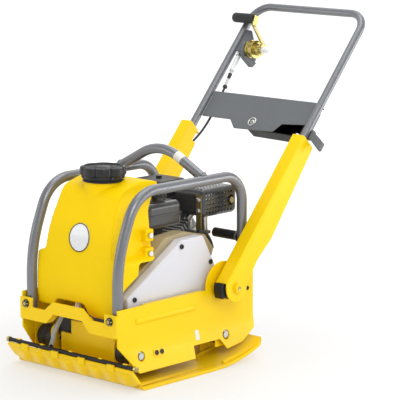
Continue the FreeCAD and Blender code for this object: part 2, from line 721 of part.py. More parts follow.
# ---------------------------------------------------------------- engine

def cylinder_point(along, across, x=0):
    """Point in the cylinder's own directions from the crank centre."""
    tilt = math.radians(CYLINDER_TILT)
    return V(x, CRANK_Y + along * math.cos(tilt) - across * math.sin(tilt),
             CRANK_Z + along * math.sin(tilt) + across * math.cos(tilt))


def cylinder_block(x0, x1, along0, along1, half):
    corners = [cylinder_point(a, c, x0) for a, c in
               ((along0, -half), (along1, -half), (along1, half), (along0, half))]
    return Part.Face(Part.makePolygon(corners + corners[:1])).extrude(V(x1 - x0, 0, 0))


def crankcase():
    """Hollow crankcase with a foot flange and the output-side cover."""
    body = soft_box(-88, 44, -24, 136, DECK_Z + DECK_THICK, 340, 10)
    foot = box(-88, 44, -44, 158, DECK_Z + DECK_THICK, DECK_Z + DECK_THICK + 12)
    face = rod_x(62, 40, 56, CRANK_Y, CRANK_Z)
    boss = rod_x(26, 54, 70, CRANK_Y, CRANK_Z)
    dip_boss = rod(15, V(20, -20, 196), V(20, -42, 214))
    hollow = soft_box(-80, 38, -16, 128, 174, 332, 8)
    bore = rod_x(12 + RUNNING_GAP, -100, 80, CRANK_Y, CRANK_Z)
    dip = rod(9, V(20, -8, 186), V(20, -43, 214.8))
    bolts = [rod(5, V(x, y, 150), V(x, y, 200)) for x in (-74, 30) for y in (-34, 148)]
    return cut(fuse([body, foot, face, boss, dip_boss]), [hollow, bore, dip] + bolts)


def cylinder():
    """Finned barrel and head, leaning to the rear."""
    core = cylinder_block(-66, 36, 74, 172, 31)
    fins = [cylinder_block(-80, 46, 80 + 11.5 * k, 84.5 + 11.5 * k, 46) for k in range(8)]
    block = fuse([core] + fins)
    return cut(block, [crankcase_envelope(), rod(26, cylinder_point(70, 0, -15), cylinder_point(162, 0, -15))])


def crankcase_envelope():
    return box(-90, 46, -30, 136.2, 150, 340.2)


def rocker_cover():
    block = cylinder_block(-58, 28, 172, 196, 37)
    return block.makeFillet(7, [e for e in block.Edges if e.CenterOfMass.distanceToPoint(
        cylinder_point(196, 0, -15)) < 55])


def fan_housing():
    """Shroud round the flywheel fan, with a duct, the starter rope's guide and the switch bracket."""
    scroll = rod_x(98, FAN_X, -90, CRANK_Y, CRANK_Z)
    duct = [(60, 300), (150, 300), (158, 352, 16), (110, 398, 16), (40, 364)]
    guide = rod(9, STARTER_AT - PULL_AXIS * 30, STARTER_AT - PULL_AXIS * 12)
    rope_hole = rod(5.5, STARTER_AT - PULL_AXIS * 24, STARTER_AT)
    floor = box(-130, -80, -100, 300, 100, 171)
    inside = rod_x(92, FAN_X + 4, -86, CRANK_Y, CRANK_Z)
    body = cut(fuse([scroll, prism(duct, FAN_X, -90), guide]), [rope_hole, floor, inside])
    return fuse([body] + switch_bracket())


def recoil_cover():
    """Dished starter cover with a ring of air slots."""
    body = Part.makeCone(78, 58, 30, V(FAN_X, CRANK_Y, CRANK_Z), X_AXIS * -1)
    hollow = Part.makeCone(74, 54, 27, V(FAN_X + 0.1, CRANK_Y, CRANK_Z), X_AXIS * -1)
    slots = []
    for k in range(18):
        slot = box(-170, -140, CRANK_Y + 26, CRANK_Y + 50, CRANK_Z - 2.6, CRANK_Z + 2.6)
        slot.rotate(V(0, CRANK_Y, CRANK_Z), X_AXIS, 20 * k)
        slots.append(slot)
    return cut(body, [hollow] + slots)


def starter_handle():
    """Moulded pull grip whose stem sits in the starter rope's guide."""
    half = V(0, 38, -16)
    bar = rod(8, STARTER_AT - half, STARTER_AT + half)
    stem = rod(5, STARTER_AT, STARTER_AT - PULL_AXIS * 20)
    bar = bar.makeFillet(3.5, bar.Edges[:1] + bar.Edges[-1:])
    return fuse([bar, stem])


def crankshaft():
    """Crankshaft with webs and an offset pin, and the output stub."""
    shaft = rod_x(12, -120, 160, CRANK_Y, CRANK_Z)
    gap = rod_x(13, -22, -4, CRANK_Y, CRANK_Z)
    webs = [rod_x(34, x, x + 14, CRANK_Y, CRANK_Z) for x in (-36, -4)]
    pin = rod_x(12, -36, 10, CRANK_Y + 20, CRANK_Z)
    flywheel = rod_x(80, -118, -104, CRANK_Y, CRANK_Z)
    fan = []
    for k in range(12):
        blade = box(-105, -96, CRANK_Y + 52, CRANK_Y + 80, CRANK_Z - 2, CRANK_Z + 2)
        blade.rotate(V(0, CRANK_Y, CRANK_Z), X_AXIS, 30 * k)
        fan.append(blade)
    return fuse([shaft.cut(gap), pin, flywheel] + webs + fan)


def drive_clutch():
    """Centrifugal clutch drum with the driving groove."""
    pulley = grooved_pulley(DRIVE_RADIUS, 12, CRANK_Y, CRANK_Z, 144, 162)
    return pulley.cut(ring_x(40, 20, 157, 163, CRANK_Y, CRANK_Z))


def exciter_pulley():
    return grooved_pulley(DRIVEN_RADIUS, 12, EXCITER_YS[0], EXCITER_Z, 144, 162)


def fuel_tank():
    """Two pressed halves joined by a seam flange, with a filler neck."""
    body = soft_box(-96, 92, -44, 98, 398, 472, 16)
    seam = prism([(-100, -48, 18), (96, -48, 18), (96, 102, 18), (-100, 102, 18)], 436, 440, "xy")
    neck = rod(19, V(50, 40, 465), V(50, 40, 482))
    hollow = soft_box(-93, 89, -41, 95, 401, 469, 13)
    throat = rod(16, V(50, 40, 460), V(50, 40, 490))
    stays = [box(x, x + 22, 10, 70, 340, 399) for x in (-70, 18)]
    return cut(fuse([body, seam, neck] + stays), [hollow, throat])


def fuel_cap():
    centre = V(50, 40, 482.4)
    disc = rod(26, centre, centre + V(0, 0, 12))
    disc = disc.makeFillet(3, disc.Edges[:1])
    notches = []
    for k in range(12):
        angle = math.radians(30 * k)
        at = centre + V(27.5 * math.cos(angle), 27.5 * math.sin(angle), -1)
        notches.append(rod(3, at, at + V(0, 0, 15)))
    plug = rod(15.4, centre - V(0, 0, 10), centre)
    return fuse([cut(disc, notches), plug])


def carburettor():
    """Carburettor body with its float bowl, between the head and the air cleaner."""
    throat = rod_x(15, -112, -81, 190, 402)
    bowl = rod(14, V(-97, 190, 372), V(-97, 190, 402))
    intake = rod(11, V(-97, 190, 402), V(-97, 190, 426))
    flange = box(-84, -80.5, 168, 212, 384, 420)
    throttle_post = rod(4, V(-97, 200, 402), V(-97, 219, 402))
    choke_post = rod_x(4, -120, -110, 190, 402)
    return fuse([throat, bowl, intake, flange, throttle_post, choke_post])


def air_cleaner():
    """Black air cleaner with a bolted cover."""
    base = soft_box(-128, -14, 116, 226, 426, 452, 6)
    lid = soft_box(-132, -10, 112, 230, 450, 508, 14)
    knob = rod(9, V(-71, 171, 506), V(-71, 171, 515))
    return fuse([base, lid, knob])


def control_lever(pivot, axis, reach, width):
    """Small flat lever on a round hub."""
    hub = Part.makeCylinder(7, 4, pivot, axis)
    tip = pivot + reach
    side = V(axis).cross(reach).normalize() * (width / 2)
    corners = [pivot + side, tip + side, tip - side, pivot - side]
    blade = Part.Face(Part.makePolygon(corners + corners[:1])).extrude(V(axis) * 2)
    lever = fuse([hub, blade])
    return lever.cut(Part.makeCylinder(4 + RUNNING_GAP, 20, pivot - V(axis) * 8, axis))


def throttle_lever():
    return control_lever(V(-97, 214, 402), Y_AXIS, V(-34, 0, 8), 9)


def choke_lever():
    return control_lever(V(-114, 190, 402), X_AXIS * -1, V(0, -27, 8), 8)


def engine_switch():
    """Rocker that stops the engine."""
    return box(-139, -127.5, -2, 14, 343, 353).cut(rod(2 + RUNNING_GAP, V(-132, -5, 348), V(-132, 20, 348)))


def switch_bracket():
    """Plate, ears and pin on which the rocker turns."""
    plate = box(FAN_X, FAN_X + 4, -8, 24, 330, 362)
    ears = [box(-136, FAN_X + 2, y, y + 3, 343, 353) for y in (-6, 15)]
    pin = rod(2, V(-132, -4, 348), V(-132, 16, 348))
    return [plate, pin] + ears


def muffler():
    """Box silencer with its pipe from the head."""
    shell = soft_box(14, 122, 152, 286, 422, 488, 14)
    elbow = pipe([V(40, 176, 372), V(40, 176, 400), V(50, 190, 426)], [0, 18, 0], 11)
    outlet = rod(9, V(122, 262, 455), V(136, 262, 455))
    stay = rod(9, V(104, 178, 372), V(104, 178, 424))
    foot = box(34, 112, 160, 196, 362, 372)
    return fuse([shell, elbow, outlet, stay, foot]).cut(cylinder_clearance())


def cylinder_clearance():
    return cylinder_block(-90, 48, 60, 210, 48)


def muffler_guard():
    """Perforated heat guard round the silencer."""
    outer = soft_box(6, 130, 144, 294, 414, 496, 18)
    inner = soft_box(9, 127, 147, 291, 417, 493, 15)
    openings = [box(0, 110, 150, 200, 400, 420), rod(14, V(120, 262, 455), V(140, 262, 455)),
                rod(12, V(104, 178, 400), V(104, 178, 420))]
    slots = []
    for row in range(5):
        for k in range(9):
            slots.append(soft_slot(V(124, 160 + 13 * k, 428 + 13 * row), X_AXIS))
    for row in range(7):
        for k in range(9):
            slots.append(soft_slot(V(24 + 14 * row, 160 + 13 * k, 490), Z_AXIS))
    for row in range(5):
        for k in range(7):
            slots.append(soft_slot(V(24 + 14 * k, 288, 428 + 13 * row), Y_AXIS))
    return cut(outer.cut(inner), openings).cut(Part.Compound(slots))


def soft_slot(centre, axis):
    return Part.makeCylinder(3.6, 12, centre, axis)


def oil_dipstick():
    """Oil filler plug with a ribbed head and its gauge stick."""
    start = V(20, -43.5, 215.2)
    lean = (V(20, -42, 214) - V(20, -20, 196)).normalize()
    head = rod(13, start, start + lean * 10)
    stick = rod(4, start - lean * 30, start)
    wing = rod(5, start + lean * 10, start + lean * 17)
    return fuse([head, stick, wing])


# ---------------------------------------------------------------- pole

def arm_outline():
    """Side view of an arm: round hub, waist, then a long taper to the top."""
    waist = math.radians(30)
    hub_rear = (-HUB_RADIUS * math.sin(waist), -HUB_RADIUS * math.cos(waist))
    points = [(-14, 43), (ARM_TOP - 8, 46), (ARM_TOP - 14, -12), (190, -33), (110, -22), (30, -30)]
    corners = [pole_at(0, *p) for p in points]
    rear = pole_at(0, *hub_rear)
    low = pole_at(0, -HUB_RADIUS, 0)
    lines = [Part.LineSegment(corners[i], corners[i + 1]).toShape() for i in range(5)]
    lines.append(Part.Arc(corners[5], rear, low).toShape())
    lines.append(Part.Arc(low, pole_at(0, -34, 26), corners[0]).toShape())
    return Part.Face(Part.Wire(lines))


def pole_arm():
    """Right arm: a channel open to the rear, round at its foot, with the leg's socket at its top."""
    face = arm_outline()
    face.translate(V(ARM_INNER_X, 0, 0))
    body = face.extrude(V(ARM_OUTER_X - ARM_INNER_X, 0, 0))
    bevel = [pole_at(240, -60, 60), pole_at(262, -60, 60), pole_at(262, -60, 24), pole_at(247.01, -60, 36)]
    ridge = Part.Face(Part.makePolygon(bevel + bevel[:1])).extrude(pole_at(0, 640) - pole_at(0, 0))
    inside = [(4, 38.5), (ARM_TOP - 14, 41.5), (ARM_TOP - 22, -60), (-80, -60), (-80, 38.5)]
    hollow = prism(inside, ARM_INNER_X + 4.5, ARM_OUTER_X - 4.5, "pole")
    foot_open = prism([(-14, 60), (-14, 0), (-80, 0), (-80, 60)], ARM_INNER_X + 4.5, ARM_OUTER_X - 4.5, "pole")
    arm = cut(body, [ridge, hollow, foot_open])
    web = prism([(392, 41), (404, 41), (404, 1), (392, 1)], ARM_INNER_X + 4, ARM_OUTER_X - 4, "pole")
    arm = fuse([arm, web])
    leg = rod(LEG_RADIUS + 0.05, pole_at(LEG_X, 380, LEG_OFFSET), pole_at(LEG_X, 620, LEG_OFFSET))
    pin = rod_x(PIN_RADIUS + RUNNING_GAP, 190, 260, PIVOT_Y, PIVOT_Z)
    return cut(arm, [leg, pin])


def pole_arms():
    """Both arms; the left one is notched at the top to let the control cable in."""
    right = pole_arm()
    notch = prism([(458, 4), (515, 4), (515, -60), (458, -60)], -ARM_INNER_X - 6, -ARM_INNER_X + 1, "pole")
    return Part.Compound([right, mirrored(right).cut(notch)])


def pivot_bushes():
    """Spacer bushes between the chassis ears and the arms."""
    return ring_x(20, PIN_RADIUS + RUNNING_GAP, WALL_X + 0.3, ARM_INNER_X - FREE_GAP, PIVOT_Y, PIVOT_Z)


def handle_tube():
    """U-shaped tube whose legs go down into the arms."""
    corners = [pole_at(-LEG_X, 388, LEG_OFFSET), pole_at(-LEG_X, HANDLE_TOP, LEG_OFFSET),
               pole_at(LEG_X, HANDLE_TOP, LEG_OFFSET), pole_at(LEG_X, 388, LEG_OFFSET)]
    return pipe(corners, [0, 62, 62, 0], LEG_RADIUS, LEG_RADIUS - 2)


def control_panel():
    """Folded grey panel between the legs, with a tongue, a round hole and a side wing."""
    front = LEG_OFFSET - 4
    edge = LEG_X - LEG_RADIUS - FREE_GAP
    back = front - 3
    face = [(636, -edge), (636, edge), (556, edge, 4), (548, 112, 8), (518, 92, 8), (514, -61, 8),
            (543, -92, 8), (543, -edge, 4)]
    plate = pole_slab(face, back, front)
    top_fold = pole_slab([(636, -edge), (633, -edge), (633, edge), (636, edge)], back - 30, front)
    neck = pole_slab([(542, 199), (542, 240), (513, 240), (513, 199)], -3, LEG_OFFSET - LEG_RADIUS - FREE_GAP)
    link = pole_slab([(575, 199), (575, edge), (513, edge), (513, 199)], -3, front)
    wing = pole_slab([(541, 236), (507, 291, 5), (476, 291, 5), (513, 236)], -3, 12)
    bridge = pole_slab([(542, 234), (542, 240), (513, 240), (513, 234)], -3, 12)
    hole = rod(12.5, pole_at(-2, 543, back - 5), pole_at(-2, 543, front + 5))
    cable_slot = pole_slab([(645, -192), (645, -174), (625, -174), (625, -192)], back - 35, back - 1)
    return cut(fuse([plate, top_fold, neck, link, wing, bridge]), [hole, cable_slot])


def pole_tray():
    """Black moulded shell behind the panel that covers the cable's run."""
    front = LEG_OFFSET - 7.3
    outer = [(628, -196, 10), (628, 196, 10), (512, 196, 8), (514, 150), (518, -10), (560, -50, 8),
             (580, -90, 8), (580, -196, 8)]
    inner = [(624, -192, 8), (624, 192, 8), (516, 192, 6), (518, 150), (522, -8), (563, -47, 6),
             (584, -88, 6), (584, -192, 6)]
    shell = pole_slab(outer, front - 40, front)
    cavity = pole_slab(inner, front - 36, front + 1)
    top_slot = pole_slab([(640, -205), (640, 205), (620, 205), (620, -205)], front - 34, front + 1)
    cable_slot = pole_slab([(612, -200), (612, -180), (540, -180), (540, -200)], front - 44, front - 6)
    return cut(shell, [cavity, top_slot, cable_slot])


def lever_bracket():
    """Plate welded to the left leg, with the cheek, the spindle and the stop of the travel lever."""
    wing = pole_slab([(787, -214), (787, -168), (838, -165), (866, -188), (868, -214)], 14, 19)
    cheek = prism([(758, 12, 4), (766, 34, 12), (800, 50, 20), (832, 22, 16), (830, -6, 14), (806, -26, 10),
                   (774, -34, 4)], -168, -159, "pole")
    stop = prism([(758, -24), (759, 22), (768, 24), (779, -30)], -168, -150, "pole")
    spindle = rod_x(6, -170, -94, *LEVER_AXIS)
    leg = rod(LEG_RADIUS, pole_at(-LEG_X, 700, LEG_OFFSET), pole_at(-LEG_X, 900, LEG_OFFSET))
    return cut(fuse([wing, cheek, spindle, stop]), [leg])


def lever_at(x, along, off=0):
    """Point in the travel lever's own directions; it leans forward of the pole."""
    lean = math.radians(LEVER_LEAN)
    return pole_at(x, LEVER_ALONG + along * math.cos(lean) - off * math.sin(lean),
                   LEG_OFFSET + along * math.sin(lean) + off * math.cos(lean))


def travel_lever():
    """Cable drum, its boss and the cranked strip that carries the grip's peg."""
    y, z = LEVER_AXIS
    drum = rod_x(28, -156, -130, y, z).cut(ring_x(40, 24, -150, -138, y, z))
    boss = rod_x(18, -130, -111, y, z)
    eye = rod_x(14, -111, -105, y, z)
    bends = [(0, -111), (0, -105), (18, -105), (76, -164), (108, -164), (108, -169), (74, -169), (16, -111)]
    face = Part.Face(Part.Wire(path_edges([lever_at(x, a, -10) for a, x in bends], [0] * 8, True)))
    strip = face.extrude(lever_at(0, 0, 20) - lever_at(0, 0, 0))
    grip_at = lever_at(0, GRIP_ALONG)
    peg = rod_x(7, -248, -166, grip_at.y, grip_at.z)
    return fuse([drum, boss, strip, eye, peg]).cut(rod_x(6 + RUNNING_GAP, -175, -90, y, z))


def lever_nut():
    """White cap nut that keeps the lever on its spindle."""
    y, z = LEVER_AXIS
    ball = Part.makeSphere(9, V(-89, y, z))
    washer = rod_x(11, -104.7, -102, y, z)
    return fuse([ball, washer, rod_x(7, -103, -89, y, z)]).cut(rod_x(6 + RUNNING_GAP, -110, -93, y, z))


def lever_grip():
    """Rubber grip on the lever's cross peg."""
    at = lever_at(0, GRIP_ALONG)
    y, z = at.y, at.z
    grip = rod_x(15.5, -256, -170, y, z)
    grip = grip.makeFillet(7, [e for e in grip.Edges if e.BoundBox.XMax < -255])
    grooves = [ring_x(17, 14.7, x, x + 2, y, z) for x in range(-244, -176, 8)]
    return cut(grip, [rod_x(7, -248, -160, y, z)] + grooves)


def cable_route():
    """Corner points of the control cable, from the travel lever down inside the left arm."""
    return [pole_at(-196, 785, 8), pole_at(-191, 722, 9), pole_at(-184, 648, 7), pole_at(-189, 600, -4),
            pole_at(-197, 548, -13), pole_at(-207, 498, -17), pole_at(-219, 446, -10), pole_at(-223, 396, -6),
            pole_at(-225, 300, -2), pole_at(-223, 180, 2)]


def control_cable():
    """Sheathed cable from the travel lever, behind the panel, into the left arm."""
    corners = cable_route()
    radii = [0] + [cord_radius(corners, i) for i in range(1, len(corners) - 1)] + [0]
    print("control cable arc radii", [round(r) for r in radii[1:-1]])
    return pipe(corners, radii, 3.5)


def cord_radius(corners, i):
    into = corners[i] - corners[i - 1]
    out = corners[i + 1] - corners[i]
    return 0.45 * min(into.Length, out.Length) / math.tan(into.getAngle(out) / 2)


# ---------------------------------------------------------------- everything

def main():
    os.makedirs("parts", exist_ok=True)
    front, rear = EXCITER_YS
    save("base_plate", base_plate())
    save("base_brackets", base_brackets())
    save("rubber_buffers", rubber_buffers())
    save("exciter_housing", exciter_housing())
    save("exciter_covers", exciter_covers())
    save("exciter_bearings", exciter_bearings())
    save("eccentric_shaft_front", eccentric_shaft(front, 160))
    save("eccentric_shaft_rear", eccentric_shaft(rear, 117))
    save("timing_gear_front", timing_gear(front, 0))
    save("timing_gear_rear", timing_gear(rear, 0.5))
    save("exciter_pulley", exciter_pulley())
    save("v_belt", v_belt())
    save("shift_arm", shift_arm())
    save("chassis_walls", both_sides(chassis_wall()))
    save("front_cross_member", front_cross_member())
    save("engine_deck", engine_deck())
    save("roll_bars", roll_bars())
    save("lifting_hoop", lifting_hoop())
    save("rear_stub_bar", rear_stub_bar())
    save("frame_bolts", frame_bolts())
    save("water_tank", water_tank())
    save("tank_cap", tank_cap())
    save("tank_cap_seal", tank_cap_seal())
    save("tank_emblem", tank_emblem())
    save("water_hose", water_hose())
    save("water_tap_body", water_tap_body())
    save("water_tap_lever", water_tap_lever())
    save("spray_bar", spray_bar())
    save("spray_bar_clips", spray_bar_clips())
    save("guard_shell", guard_shell())
    save("guard_cover", guard_cover())
    save("guard_bolts", guard_bolts())
    save("crankcase", crankcase())
    save("cylinder", cylinder())
    save("rocker_cover", rocker_cover())
    save("fan_housing", fan_housing())
    save("recoil_cover", recoil_cover())
    save("starter_handle", starter_handle())
    save("crankshaft", crankshaft())
    save("drive_clutch", drive_clutch())
    save("fuel_tank", fuel_tank())
    save("fuel_cap", fuel_cap())
    save("carburettor", carburettor())
    save("air_cleaner", air_cleaner())
    save("throttle_lever", throttle_lever())
    save("choke_lever", choke_lever())
    save("engine_switch", engine_switch())
    save("muffler", muffler())
    save("muffler_guard", muffler_guard())
    save("oil_dipstick", oil_dipstick())
    save("pole_arms", pole_arms())
    save("pivot_bushes", both_sides(pivot_bushes()))
    save("handle_tube", handle_tube())
    save("control_panel", control_panel())
    save("pole_tray", pole_tray())
    save("lever_bracket", lever_bracket())
    save("travel_lever", travel_lever())
    save("lever_nut", lever_nut())
    save("lever_grip", lever_grip())
    save("control_cable", control_cable())


main()
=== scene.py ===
import math

import bmesh
import bpy
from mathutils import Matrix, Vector
from mathutils.bvhtree import BVHTree


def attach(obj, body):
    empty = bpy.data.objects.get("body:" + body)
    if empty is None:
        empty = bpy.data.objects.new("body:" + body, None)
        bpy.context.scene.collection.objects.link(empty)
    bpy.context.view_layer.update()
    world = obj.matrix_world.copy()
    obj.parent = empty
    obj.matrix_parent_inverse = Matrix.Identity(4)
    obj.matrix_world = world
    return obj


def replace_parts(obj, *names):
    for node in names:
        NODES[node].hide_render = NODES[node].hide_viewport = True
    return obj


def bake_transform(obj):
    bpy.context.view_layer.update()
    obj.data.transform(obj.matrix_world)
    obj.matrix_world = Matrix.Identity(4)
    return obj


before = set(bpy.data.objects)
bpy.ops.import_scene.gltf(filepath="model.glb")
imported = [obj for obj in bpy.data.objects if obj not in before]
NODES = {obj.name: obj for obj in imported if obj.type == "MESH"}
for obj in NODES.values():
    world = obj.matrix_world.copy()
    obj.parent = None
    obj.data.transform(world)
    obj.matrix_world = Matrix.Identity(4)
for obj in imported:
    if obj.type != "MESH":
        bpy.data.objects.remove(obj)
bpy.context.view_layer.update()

MM = 0.001

# Places that several pieces share, in millimetres, in the frame of the CAD.
WALL_X = 193                          # outer face of a side wall
WALL_BEND_Z = 116                     # below this height the wall slopes out as the skirt
SKIRT_RUN, SKIRT_DROP = 18, 79        # the skirt's slope: so far out for so far down
COLUMN_X, COLUMN_Z = 168, 190         # bolts of the guard bars' front columns
PIVOT_Y, PIVOT_Z = 160, 226           # the guide pole's pivot
POLE_FOOT_X = 247                     # outer face of the pole's foot
HOOP_FOOT = 172, 106, 538             # where a leg of the lifting hoop leaves its guard bar
REAR_Y, REAR_FOOT_Z = 264, 165.5      # a guard bar's rear leg, and its foot on the deck
REAR_BAR = 157.5, REAR_Y, 351         # where the short rear bar leaves its guard bar
CAP_X, CAP_Y = 4, -133                # axis of the tank's neck
CRANK_Y, CRANK_Z = 66, 268            # axis of the crankshaft


# ---------------------------------------------------------------- colours

def rgb(r, g, b):
    """A linear colour from three sRGB bytes."""
    def one(c):
        c /= 255
        return c / 12.92 if c <= 0.04045 else ((c + 0.055) / 1.055) ** 2.4
    return one(r), one(g), one(b), 1.0


YELLOW = rgb(250, 209, 0)
TANK_YELLOW = rgb(247, 208, 0)
TUBE_GREY = rgb(126, 127, 131)
BARE_METAL = rgb(150, 148, 142)
# painted shade: the brownish dark laid into corners and crevices
CREVICE_SHADE = rgb(96, 84, 62)


# ---------------------------------------------------------------- materials

class Shader:
    """One material being wired: short calls that add a node and give back its output."""

    def __init__(self, name):
        self.mat = bpy.data.materials.new(name)
        self.mat.use_nodes = True
        self.tree = self.mat.node_tree
        self.tree.nodes.clear()
        self.bsdf = self.tree.nodes.new("ShaderNodeBsdfPrincipled")
        out = self.tree.nodes.new("ShaderNodeOutputMaterial")
        self.link(self.bsdf.outputs[0], out.inputs["Surface"])
        self.coords = self.tree.nodes.new("ShaderNodeTexCoord").outputs["Object"]

    def link(self, a, b):
        self.tree.links.new(a, b)

    def put(self, value, socket):
        """Links an output to a socket, or sets the socket to a plain value."""
        if isinstance(value, bpy.types.NodeSocket):
            self.link(value, socket)
        else:
            socket.default_value = value

    def noise(self, scale, detail=3.0, rough=0.5, stretch=None):
        n = self.tree.nodes.new("ShaderNodeTexNoise")
        n.inputs["Scale"].default_value = scale
        n.inputs["Detail"].default_value = detail
        n.inputs["Roughness"].default_value = rough
        self.link(self.stretched(stretch) if stretch else self.coords, n.inputs["Vector"])
        return n.outputs["Fac"]

    def stretched(self, scale):
        m = self.tree.nodes.new("ShaderNodeMapping")
        m.inputs["Scale"].default_value = scale
        self.link(self.coords, m.inputs["Vector"])
        return m.outputs[0]

    def span(self, value, a, b, lo, hi):
        """value mapped from a..b to lo..hi and clamped."""
        n = self.tree.nodes.new("ShaderNodeMapRange")
        self.link(value, n.inputs["Value"])
        n.inputs["From Min"].default_value = a
        n.inputs["From Max"].default_value = b
        n.inputs["To Min"].default_value = lo
        n.inputs["To Max"].default_value = hi
        return n.outputs[0]

    def swing(self, noise, lo, hi):
        """A noise's usual range, 0.3 to 0.7, mapped to lo..hi."""
        return self.span(noise, 0.3, 0.7, lo, hi)

    def product(self, value, *others):
        """Values multiplied one after the other, each result clamped."""
        for other in others:
            n = self.tree.nodes.new("ShaderNodeMath")
            n.operation = "MULTIPLY"
            n.use_clamp = True
            self.put(value, n.inputs[0])
            self.put(other, n.inputs[1])
            value = n.outputs[0]
        return value

    def mix(self, factor, a, b):
        n = self.tree.nodes.new("ShaderNodeMix")
        n.data_type = "RGBA"
        self.put(factor, n.inputs["Factor"])
        self.put(a, n.inputs[6])
        self.put(b, n.inputs[7])
        return n.outputs[2]

    def layer(self, below, colour, amount, mask, patches):
        """A colour laid over another where both the mask and the patches let it through."""
        return self.mix(self.product(mask, patches, amount), below, colour)

    def toned(self, colour, value):
        """The colour made lighter or darker by a factor near one."""
        n = self.tree.nodes.new("ShaderNodeHueSaturation")
        self.put(colour, n.inputs["Color"])
        self.put(value, n.inputs["Value"])
        return n.outputs[0]

    def rounded(self, radius):
        """The normal as if every edge were rounded by the radius."""
        n = self.tree.nodes.new("ShaderNodeBevel")
        n.samples = 4
        n.inputs["Radius"].default_value = radius
        return n.outputs[0]

    def edges(self, radius):
        """One along sharp edges, zero on flat faces, by how far the rounded normal turns away."""
        flat, sharp = 0.955, 0.8
        geometry = self.tree.nodes.new("ShaderNodeNewGeometry")
        dot = self.tree.nodes.new("ShaderNodeVectorMath")
        dot.operation = "DOT_PRODUCT"
        self.link(self.rounded(radius), dot.inputs[0])
        self.link(geometry.outputs["Normal"], dot.inputs[1])
        return self.span(dot.outputs["Value"], flat, sharp, 0.0, 1.0)

    def crevices(self, reach):
        """One where the surface is tucked into a corner, zero where it is open: the mask of the painted
        shade in corners.
        """
        tucked, open_sky = 0.35, 0.9
        n = self.tree.nodes.new("ShaderNodeAmbientOcclusion")
        n.samples = 4
        n.inputs["Distance"].default_value = reach
        return self.span(n.outputs["AO"], tucked, open_sky, 1.0, 0.0)

    def height(self):
        n = self.tree.nodes.new("ShaderNodeSeparateXYZ")
        self.link(self.coords, n.inputs[0])
        return n.outputs["Z"]

    def bump(self, height, strength, distance, radius):
        n = self.tree.nodes.new("ShaderNodeBump")
        n.inputs["Strength"].default_value = strength
        n.inputs["Distance"].default_value = distance
        self.link(height, n.inputs["Height"])
        self.link(self.rounded(radius), n.inputs["Normal"])
        self.link(n.outputs[0], self.bsdf.inputs["Normal"])

    def set(self, **values):
        """Plain numbers for the shader's own sockets, with _ for a space in the socket's name."""
        for key, value in values.items():
            self.bsdf.inputs[key.replace("_", " ")].default_value = value


GRAIN_DEPTH = 0.0004       # metres of relief at full grain strength
WEAR_WIDTH = 0.0009        # metres of worn edge
CREVICE_REACH = 0.012      # metres from a corner that the painted crevice shade reaches
DUST_TOP = 0.045           # metres above the floor that dust reaches
DUST = rgb(150, 138, 112)


def finish(name, colour, rough, metallic=0.0, coat=0.0, grain=(650, 0.12), tone=0.04,
           wear=None, crevice_shade=0.0, dust=0.0, edge=0.0012, spread=0.07, stretch=None, specular=0.35):
    """A solid material: drifting tone, uneven gloss, fine surface relief, worn edges, painted shade in
    corners.

    grain is the relief's scale and strength, wear the bare colour and its amount.
    """
    s = Shader(name)
    grain_scale, grain_strength = grain
    drift = s.noise(7, 4, 0.6)
    fine = s.noise(grain_scale, 2, 0.6, stretch=stretch)
    col = s.toned(colour, s.swing(drift, 1 - tone, 1 + tone))
    col = s.toned(col, s.swing(fine, 1 - tone / 2, 1 + tone / 2))
    # painted shade: corners and crevices darkened towards a brownish dark by ambient occlusion, in
    # patches
    if crevice_shade:
        patches = s.span(s.noise(38, 4, 0.65), 0.35, 0.7, 0.3, 1.0)
        col = s.layer(col, CREVICE_SHADE, crevice_shade, s.crevices(CREVICE_REACH), patches)
    if wear:
        bare, amount = wear
        chips = s.span(s.noise(90, 5, 0.7), 0.5, 0.62, 0.0, 1.0)
        col = s.layer(col, bare, amount, s.edges(WEAR_WIDTH), chips)
    if dust:
        low = s.span(s.height(), 0.0, DUST_TOP, 1.0, 0.0)
        cloud = s.span(s.noise(24, 5, 0.7), 0.3, 0.75, 0.0, 1.0)
        col = s.layer(col, DUST, dust, low, cloud)
    s.link(col, s.bsdf.inputs["Base Color"])
    gloss = s.span(s.noise(30, 5, 0.6), 0.25, 0.75, rough - spread, rough + spread)
    s.link(gloss, s.bsdf.inputs["Roughness"])
    s.bump(fine, grain_strength, GRAIN_DEPTH, edge)
    s.set(Metallic=metallic, Coat_Weight=coat, Coat_Roughness=0.12, Specular_IOR_Level=specular)
    return s


